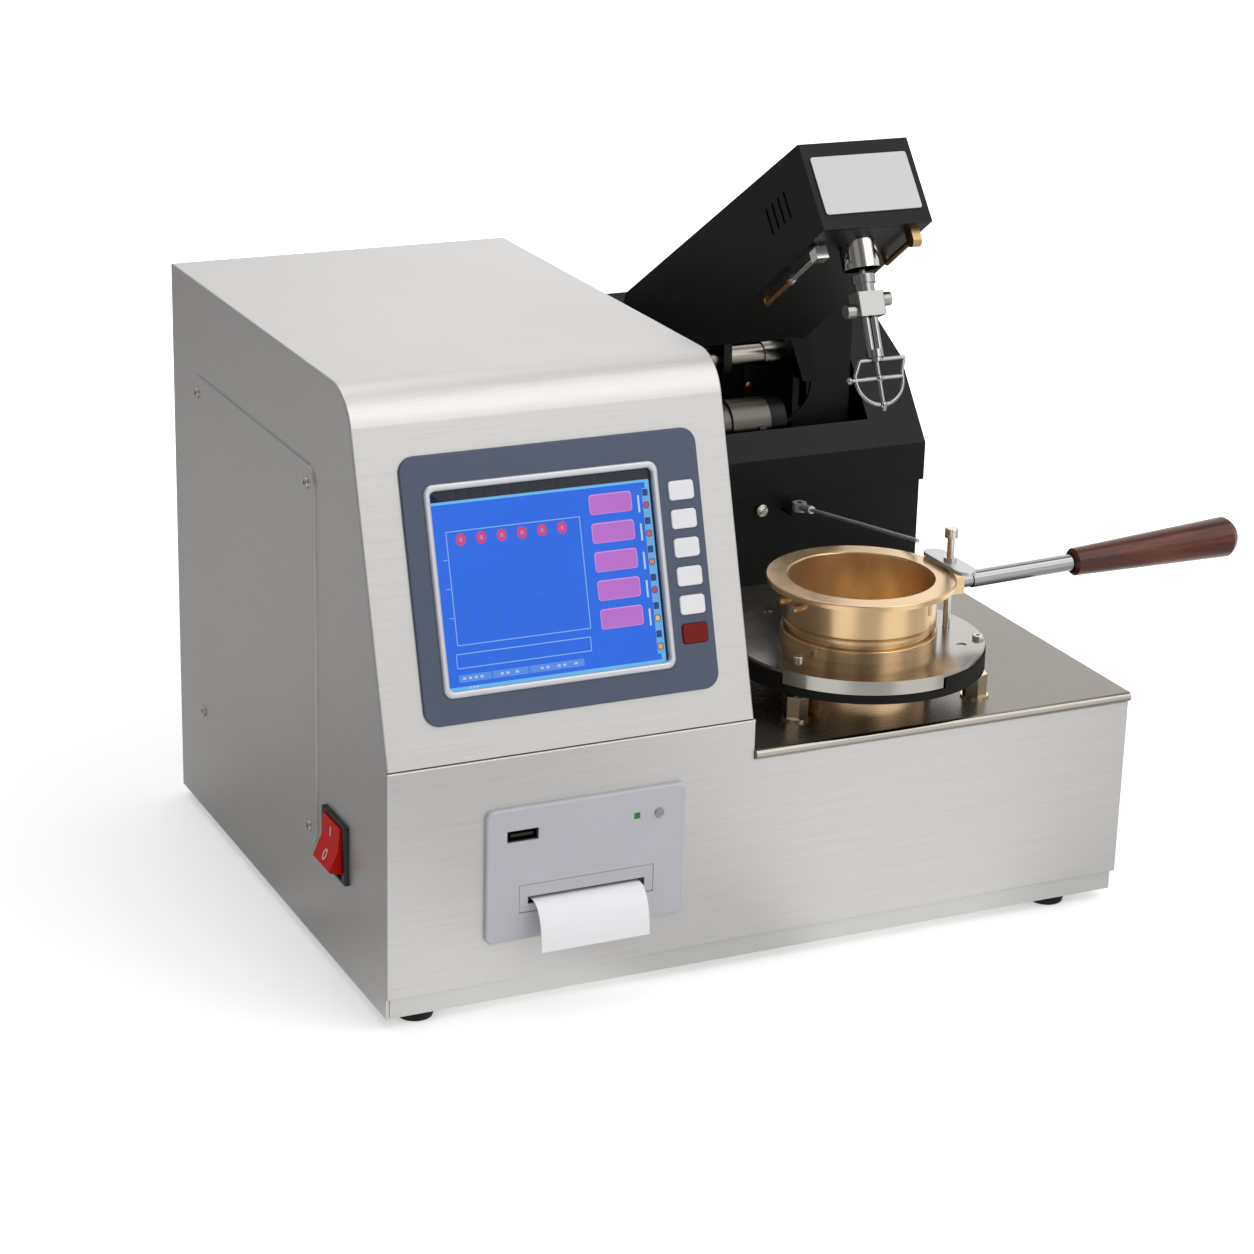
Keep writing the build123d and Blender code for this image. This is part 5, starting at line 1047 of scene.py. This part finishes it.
@dataclass
class DisplayPanel:
    """The framed display on the slope, with its picture and its keys."""

    lit_left: float = 35.2
    lit_right: float = 151.4
    lit_low: float = 34.6
    lit_high: float = 125.8
    # top of the dark screen border: it reaches well above the lit face as painted shade under the frame
    painted_shade_top: float = 131.9
    glass_level: float = -0.2

    def picture(self) -> bpy.types.Object:
        """The lit face: a chart frame with six points, five soft buttons, tabs and a status bar."""
        blue, pale, line = srgb(26, 106, 236), srgb(110, 196, 245), srgb(150, 190, 245)
        pink, pink_edge, red = srgb(196, 112, 206), srgb(232, 150, 214), srgb(226, 58, 104)
        middle_a = (self.lit_left + self.lit_right) / 2
        middle_s = (self.lit_low + self.lit_high) / 2
        wide, high = self.lit_right - self.lit_left, self.lit_high - self.lit_low
        items = [
            # first patch: the unlit screen border, dark all round and drawn deeper at the top as painted shade under
            # the frame
            (middle_a, (self.lit_low + self.painted_shade_top) / 2, wide + 3.4, self.painted_shade_top - self.lit_low + 2.6, 3.0, srgb(14, 22, 38)),
            (middle_a, middle_s, wide, high, 0.6, pale),
            (middle_a - 0.6, middle_s + 0.4, wide - 3.4, high - 3.4, 0.4, blue),
        ]
        items += self.frame_lines(42.7, 112.7, 56.6, 111.3, line)
        items += self.frame_lines(41.5, 112.0, 45.6, 52.4, line)
        items += [(50.0 + 10.6 * spot, 107.0, 5.0, 6.0, 2.5, red) for spot in range(6)]
        items += [(50.0 + 10.6 * spot, 107.0, 1.7, 2.2, 0.8, srgb(190, 130, 220)) for spot in range(6)]
        for spot in range(5):
            up = 116.2 - 14.05 * spot
            items.append((129.9, up, 22.8, 9.9, 1.6, pink_edge))
            items.append((129.9, up - 0.15, 22.0, 9.1, 1.3, pink))
        items += [(76.0, 74.0 - 2.0 * row, 66.0, 0.25, 0.1, srgb(36, 96, 214)) for row in range(8)]
        items += [(41.0, up, 2.2, 0.4, 0.1, line) for up in (98.0, 84.0, 70.0)]
        items += self.status_bar()
        items += self.tabs()
        return patches("display_picture", on_slope, items, self.glass_level, 0.002, wall=1.4)

    def frame_lines(
        self, low_a: float, high_a: float, low_s: float, high_s: float, tint: Colour
    ) -> list[tuple[float, float, float, float, float, Colour]]:
        """Four thin lines round a rectangle."""
        middle_a, middle_s = (low_a + high_a) / 2, (low_s + high_s) / 2
        return [
            (middle_a, low_s, high_a - low_a, 0.45, 0.1, tint),
            (middle_a, high_s, high_a - low_a, 0.45, 0.1, tint),
            (low_a, middle_s, 0.45, high_s - low_s, 0.1, tint),
            (high_a, middle_s, 0.45, high_s - low_s, 0.1, tint),
        ]

    def status_bar(self) -> list[tuple[float, float, float, float, float, Colour]]:
        """A row of pale cells along the bottom, with blank marks in place of words."""
        cell, mark = srgb(92, 148, 238), srgb(190, 215, 250)
        cells = [(50.0, 17.0), (68.5, 19.0), (93.0, 29.0)]
        made = [(middle, 40.6, width, 3.6, 0.3, cell) for middle, width in cells]
        spots = (44.5, 47.5, 50.5, 53.5, 64.0, 67.0, 72.0, 85.0, 88.0, 94.0, 97.0, 103.0)
        made += [(spot, 40.6, 1.7, 1.1, 0.2, mark) for spot in spots]
        made += [(47.0 + 1.8 * spot, 36.0, 1.1, 0.9, 0.2, mark) for spot in range(3)]
        return made

    def tabs(self) -> list[tuple[float, float, float, float, float, Colour]]:
        """The pale strip down the right edge, with a coloured lamp under each tab."""
        lamps = (srgb(214, 60, 90), srgb(228, 84, 70), srgb(240, 130, 50), srgb(224, 52, 60), srgb(240, 214, 60), srgb(240, 180, 60))
        made = [(148.9, 80.5, 3.6, 82.0, 0.6, srgb(112, 178, 232))]
        for spot, lamp in enumerate(lamps):
            up = 113.2 - 14.0 * spot
            made.append((148.8, up + 6.2, 3.0, 3.4, 0.5, srgb(38, 60, 104)))
            made.append((148.9, up, 3.3, 3.5, 1.4, srgb(60, 72, 120)))
            made.append((148.9, up, 2.5, 2.7, 1.2, lamp))
            if spot < 5:
                made.append((144.9, up + 1.0, 1.0, 8.6, 0.4, srgb(196, 222, 250)))
        return made

    def build(self) -> None:
        """The picture, and finishes on the panel's solids, its keys among them."""
        coat_nodes(
            {
                "display_bezel": Coat.BEZEL, "screen_frame": Coat.FRAME_METAL, "lcd_panel": Coat.BLACK_PLASTIC,
                "display_board": Coat.BOARD, "stop_key": Coat.STOP_KEY,
                **{f"key_{order}": Coat.KEY for order in range(1, 6)},
            }
        )
        dress(self.picture(), Coat.SCREEN)


@dataclass
class Printer:
    """The panel printer: its face, door, roll of paper and the strip that hangs out."""

    def build(self) -> None:
        """Finishes on the printer's solids."""
        coat_nodes(
            {
                "printer_panel": Coat.PRINTER, "printer_door": Coat.DOOR, "printer_frame": Coat.GREY_PLASTIC,
                "paper_roll": Coat.PAPER, "paper_strip": Coat.PAPER, "platen_roller": Coat.RUBBER,
                "usb_socket": Coat.DARK_STEEL, "status_lamp": Coat.GREEN_LAMP, "feed_button": Coat.GREY_PLASTIC,
            }
        )


@dataclass
class PowerSwitch:
    """The rocker switch on the left side, with its on and off marks."""

    pivot: Point = (3.0, 69.0, 66.0)
    tilt: float = 14.0
    middle_out: float = 7.5
    end_out: float = 9.5
    half_height: float = 12.0
    line: float = 0.42
    sunk: float = 0.2

    def on_rocker(self, across: np.ndarray, up: np.ndarray) -> np.ndarray:
        """Places on the rocker's two faces: its own height gives how far out, then the tilt turns it."""
        across, up = np.broadcast_arrays(np.asarray(across, float), np.asarray(up, float))
        out = self.middle_out + (self.end_out - self.middle_out) * np.abs(up) / self.half_height - self.sunk
        turn = math.radians(self.tilt)
        x = -out * math.cos(turn) + up * math.sin(turn)
        z = out * math.sin(turn) + up * math.cos(turn)
        return np.array(self.pivot) + np.stack([x, -across, z], -1)

    def marks(self) -> list[bpy.types.Object]:
        """A bar on the upper half and a ring on the lower half, both raised from the face."""
        turn = np.linspace(0.0, 2.0 * math.pi, 49)[:-1]
        ring = self.on_rocker(1.7 * np.cos(turn), -6.3 + 2.6 * np.sin(turn))
        bar = self.on_rocker(np.zeros(12), np.linspace(3.6, 8.4, 12))
        return [tube("off_mark", ring, self.line, 10, closed=True), tube("on_mark", bar, self.line, 10)]

    def build(self) -> None:
        """The marks, and finishes on the switch's solids."""
        coat_nodes({"switch_body": Coat.BLACK_PLASTIC, "switch_rocker": Coat.RED_PLASTIC})
        dress(joined("rocker_marks", self.marks()), Coat.MARKING, "switch_rocker")


@dataclass
class CupStage:
    """The heater, the hot plate on its standoffs, the cup, its handle and the latch."""

    boss_reach: float = 44.2
    boss_up: float = 169.6
    boss_turn: float = -169.0

    def boss_screw(self) -> bpy.types.Object:
        """The nickel screw in the front one of the two bosses on the cup's wall."""
        turn = math.radians(self.boss_turn)
        outward = (math.cos(turn), math.sin(turn), 0.0)
        place = (
            CUP_CENTRE[0] + self.boss_reach * outward[0], CUP_CENTRE[1] + self.boss_reach * outward[1], self.boss_up
        )
        return slotted_head("cup_screw", place, outward, 2.0, 1.1, 35.0, 0.6)

    def build(self) -> None:
        """Finishes on the stage's solids, and the screw in the cup's wall."""
        dress(self.boss_screw(), Coat.NICKEL, "cup")
        coat_nodes(
            {
                "heater_block": Coat.BRONZE, "insulating_disc": Coat.MINERAL, "hot_plate": Coat.HOT_PLATE,
                "plate_collar": Coat.BRASS, "test_cup": Coat.BRASS, "standoff_studs": Coat.NICKEL,
                "standoff_nuts": Coat.WARM_NICKEL, "handle_rod": Coat.CHROME, "handle_grip": Coat.WOOD,
                "locating_pin": Coat.NICKEL, "latch_plate": Coat.ALUMINIUM, "ignition_rod": Coat.FRAME_METAL,
            }
        )


@dataclass
class Tower:
    """The black tower behind the cup, with the shaft, gears and motor inside it."""

    front_screw: Point = (314.6, 225.4, 159.4)
    plate_screw: Point = (333.6, 284.0, 216.2)

    def screws(self) -> None:
        """The bright screw in the tower's front, and a copper one on the plate behind the motor."""
        dress(slotted_head("tower_screw", self.front_screw, (0.0, -1.0, 0.0), 3.6, 1.9, 40.0, 0.9), Coat.NICKEL)
        dress(slotted_head("plate_screw", self.plate_screw, (0.0, -1.0, 0.0), 2.1, 1.2, 20.0, 0.6), Coat.COPPER)

    def build(self) -> None:
        """The screws, and finishes on the tower's solids."""
        self.screws()
        coat_nodes(
            {
                "tower_base": Coat.BLACK_COAT, "tower_cover": Coat.BLACK_COAT, "shaft_bracket": Coat.BLACK_COAT,
                "drive_shaft": Coat.SHAFT_STEEL, "lift_pinion": Coat.STEEL, "gear_motor": Coat.GEAR_MOTOR,
            }
        )


@dataclass
class TestHead:
    """The tilting head: its black cover, label, probe, flash ring and gas pipes."""

    def build(self) -> None:
        """Finishes on the head's solids."""
        coat_nodes(
            {
                "head_cover": Coat.BLACK_COAT, "head_base": Coat.BLACK_COAT, "label_plate": Coat.SILVER_LABEL,
                "probe_stem": Coat.PROBE, "temperature_probe": Coat.CHROME, "flash_ring": Coat.CHROME,
                "left_gas_pipe": Coat.GAS_PIPE, "right_gas_pipe": Coat.GAS_BRASS,
            }
        )


# ---- Studio ----


@dataclass(frozen=True)
class Lamp:
    """A soft rectangular lamp that looks at a point."""

    name: str
    place: Point
    target: Point
    size: tuple[float, float]
    power: float

    def light(self) -> None:
        """Adds the lamp, turned so that its face looks at the target."""
        data = bpy.data.lights.new(self.name, "AREA")
        data.shape = "RECTANGLE"
        data.size, data.size_y = self.size
        data.energy = self.power
        lamp = bpy.data.objects.new(self.name, data)
        bpy.context.scene.collection.objects.link(lamp)
        first, second, along = basis(tuple(np.array(self.place) - np.array(self.target)))
        lamp.matrix_world = placed(first, second, along, self.place)


def placed(first: np.ndarray, second: np.ndarray, third: np.ndarray, spot: Point) -> "object":
    """A transform with three given axes at a given place."""
    from mathutils import Matrix

    made = Matrix.Identity(4)
    for row in range(3):
        made[row][0], made[row][1], made[row][2] = first[row], second[row], third[row]
        made[row][3] = spot[row]
    return made


@dataclass
class Studio:
    """Camera, floor, background and lamps."""

    camera_place: Point = (-0.5272, -1.3378, 0.7214)
    yaw: float = 25.5
    pitch: float = 19.75
    roll: float = 1.5
    focal: float = 3216.48
    frame_pixels: float = 1254.0
    floor_side: float = 12.0
    floor_middle: tuple[float, float] = (0.19, 0.15)
    floor_lift: float = 0.42
    shadow_reach: float = 0.42
    panel: float = 1.3
    panel_gap: float = 0.06
    dim_side: float = 0.2
    bright_side: float = 0.75
    lamps: tuple[Lamp, ...] = field(
        default_factory=lambda: (
            Lamp("key", (1.49, -1.55, 2.3), (0.19, 0.15, 0.15), (2.6, 2.4), 31.0),
            Lamp("top", (-0.01, 0.65, 2.6), (0.19, 0.15, 0.1), (2.0, 1.4), 15.0),
        )
    )

    def camera(self) -> None:
        """A camera at the photograph's own angle and field of view."""
        yaw, pitch, roll = (math.radians(angle) for angle in (self.yaw, self.pitch, self.roll))
        ahead = np.array([math.sin(yaw) * math.cos(pitch), math.cos(yaw) * math.cos(pitch), -math.sin(pitch)])
        level = np.array([math.cos(yaw), -math.sin(yaw), 0.0])
        rise = np.cross(level, ahead)
        across = math.cos(roll) * level + math.sin(roll) * rise
        upward = -math.sin(roll) * level + math.cos(roll) * rise
        data = bpy.data.cameras.new("camera")
        data.sensor_fit, data.sensor_width = "HORIZONTAL", 36.0
        data.lens = self.focal / self.frame_pixels * 36.0
        data.clip_start, data.clip_end = 0.05, 60.0
        camera = bpy.data.objects.new("camera", data)
        bpy.context.scene.collection.objects.link(camera)
        camera.matrix_world = placed(across, upward, -ahead, self.camera_place)
        bpy.context.scene.camera = camera

    def world(self) -> None:
        """White to the camera; reflections see bright panels with darker gaps between them."""
        world = bpy.data.worlds.new("studio")
        bpy.context.scene.world = world
        paint = Paint.on_tree(world)
        place = paint.node("ShaderNodeSeparateXYZ", {}, {0: paint.place.outputs["Generated"]})
        across, back, up = (Value(paint, place.outputs[name]) for name in "XYZ")
        spread = ((across + 0.9) * 0.83).clipped()
        bands = self.panels(paint, across, back, up * 1.5) * 0.65 + 0.35
        panels = bands * (((across + 0.35) * 1.6).clipped() * 0.7 + 0.3)
        white = paint.node("ShaderNodeBackground", {}, {"Color": (1.0, 1.0, 1.0), "Strength": 1.0})
        panel = paint.node("ShaderNodeBackground", {}, {"Color": (1.0, 1.0, 1.0), "Strength": self.panel})
        gap = paint.node("ShaderNodeBackground", {}, {"Color": (1.0, 1.0, 1.0), "Strength": self.panel_gap})
        dim = paint.node("ShaderNodeBackground", {}, {"Color": (1.0, 1.0, 1.0), "Strength": self.dim_side})
        fill = paint.node("ShaderNodeBackground", {}, {"Color": (1.0, 1.0, 1.0), "Strength": self.bright_side})
        ray = paint.node("ShaderNodeLightPath", {}, {})
        mirrored = paint.node("ShaderNodeMixShader", {}, {0: panels, 1: gap.outputs[0], 2: panel.outputs[0]})
        lit = paint.node("ShaderNodeMixShader", {}, {0: spread, 1: dim.outputs[0], 2: fill.outputs[0]})
        shiny = paint.node(
            "ShaderNodeMixShader", {}, {0: ray.outputs["Is Glossy Ray"], 1: lit.outputs[0], 2: mirrored.outputs[0]}
        )
        seen = (Value(paint, ray.outputs["Is Camera Ray"]) + Value(paint, ray.outputs["Is Transmission Ray"])).clipped()
        mixed = paint.node("ShaderNodeMixShader", {}, {0: seen, 1: shiny.outputs[0], 2: white.outputs[0]})
        paint.feed(paint.output.inputs[0], mixed.outputs[0])

    def panels(self, paint: Paint, across: Value, back: Value, shift: Value | float) -> Value:
        """Panels all round the object with gaps between them, as a reflection sees them.

        Args:
            paint: the finish the values belong to.
            across: sideways part of a direction or place.
            back: its part away from the front.
            shift: turns the panels.

        Returns:
            Nought in the gaps, and one on the panels.
        """
        turn = Value(paint, paint.node("ShaderNodeMath", {"operation": "ARCTAN2"}, {0: back, 1: across}).outputs[0])
        return ((turn * 5.58 + shift + math.pi / 2.0).wave() * 1.1 + 0.5).clipped()

    def floor(self) -> None:
        """A wide pale floor: white to the camera, with the soft shadow kept, and panels in reflections."""
        paint = Paint("floor")
        grit = paint.noise((700.0, 700.0, 700.0), 2.0)
        paint.set(Base_Color=paint.blend(grit, (0.8, 0.8, 0.8), (0.82, 0.82, 0.82)), Roughness=0.9)
        across = paint.axis("X") - self.floor_middle[0]
        back = paint.axis("Y") - self.floor_middle[1]
        reach = (across * across + back * back) ** 0.5
        away = ((reach - self.shadow_reach) * 2.0).clipped()
        fore = (((across * 0.5 - back * 0.87) * (reach + 0.01) ** -1.0 + 0.35) * 1.6).clipped()
        far_bands = ((reach - 0.6) * 1.6).clipped() * 0.55 + 0.4
        near = paint.node("ShaderNodeEmission", {}, {"Color": (1.0, 1.0, 1.0), "Strength": self.floor_lift})
        far = paint.node("ShaderNodeEmission", {}, {"Color": (1.0, 1.0, 1.0), "Strength": 1.0})
        dark = paint.node("ShaderNodeEmission", {}, {"Color": (0.0, 0.0, 0.0), "Strength": 0.0})
        panel = paint.node("ShaderNodeEmission", {}, {"Color": (1.0, 1.0, 1.0), "Strength": self.panel})
        gap = paint.node("ShaderNodeEmission", {}, {"Color": (1.0, 1.0, 1.0), "Strength": self.panel_gap})
        ray = paint.node("ShaderNodeLightPath", {}, {})
        names = ("Is Camera Ray", "Is Glossy Ray", "Is Transmission Ray")
        camera, glossy, through = (Value(paint, ray.outputs[name]) for name in names)
        lifted = paint.node("ShaderNodeMixShader", {}, {0: away, 1: near.outputs[0], 2: far.outputs[0]})
        seen = (camera + through).clipped()
        banded = (self.panels(paint, across, back, 0.0) * far_bands + (1.0 - far_bands)) * (fore * 0.68 + 0.32)
        extra = paint.node("ShaderNodeMixShader", {}, {0: seen, 1: dark.outputs[0], 2: lifted.outputs[0]})
        added = paint.node("ShaderNodeAddShader", {}, {0: paint.shader.outputs[0], 1: extra.outputs[0]})
        mirrored = paint.node("ShaderNodeMixShader", {}, {0: banded, 1: gap.outputs[0], 2: panel.outputs[0]})
        mixed = paint.node("ShaderNodeMixShader", {}, {0: glossy, 1: added.outputs[0], 2: mirrored.outputs[0]})
        paint.feed(paint.output.inputs[0], mixed.outputs[0])
        side = self.floor_side
        mesh = bpy.data.meshes.new("floor")
        mesh.from_pydata([(-side, -side, 0.0), (side, -side, 0.0), (side, side, 0.0), (-side, side, 0.0)], [], [[0, 1, 2, 3]])
        mesh.materials.append(paint.material)
        made = bpy.data.objects.new("floor", mesh)
        bpy.context.scene.collection.objects.link(made)

    def build(self) -> None:
        """The whole studio, at a plain light level."""
        bpy.context.scene.view_settings.view_transform = "Standard"
        self.camera()
        self.world()
        self.floor()
        for lamp in self.lamps:
            lamp.light()


def main() -> None:
    """Builds the studio and every sub-assembly."""
    logging.basicConfig(level=logging.INFO, format="%(message)s")
    Studio().build()
    for assembly in (Case(), DisplayPanel(), Printer(), PowerSwitch(), CupStage(), Tower(), TestHead()):
        assembly.build()
        log.info("%s done", type(assembly).__name__)


if __name__ == "__main__":
    main()
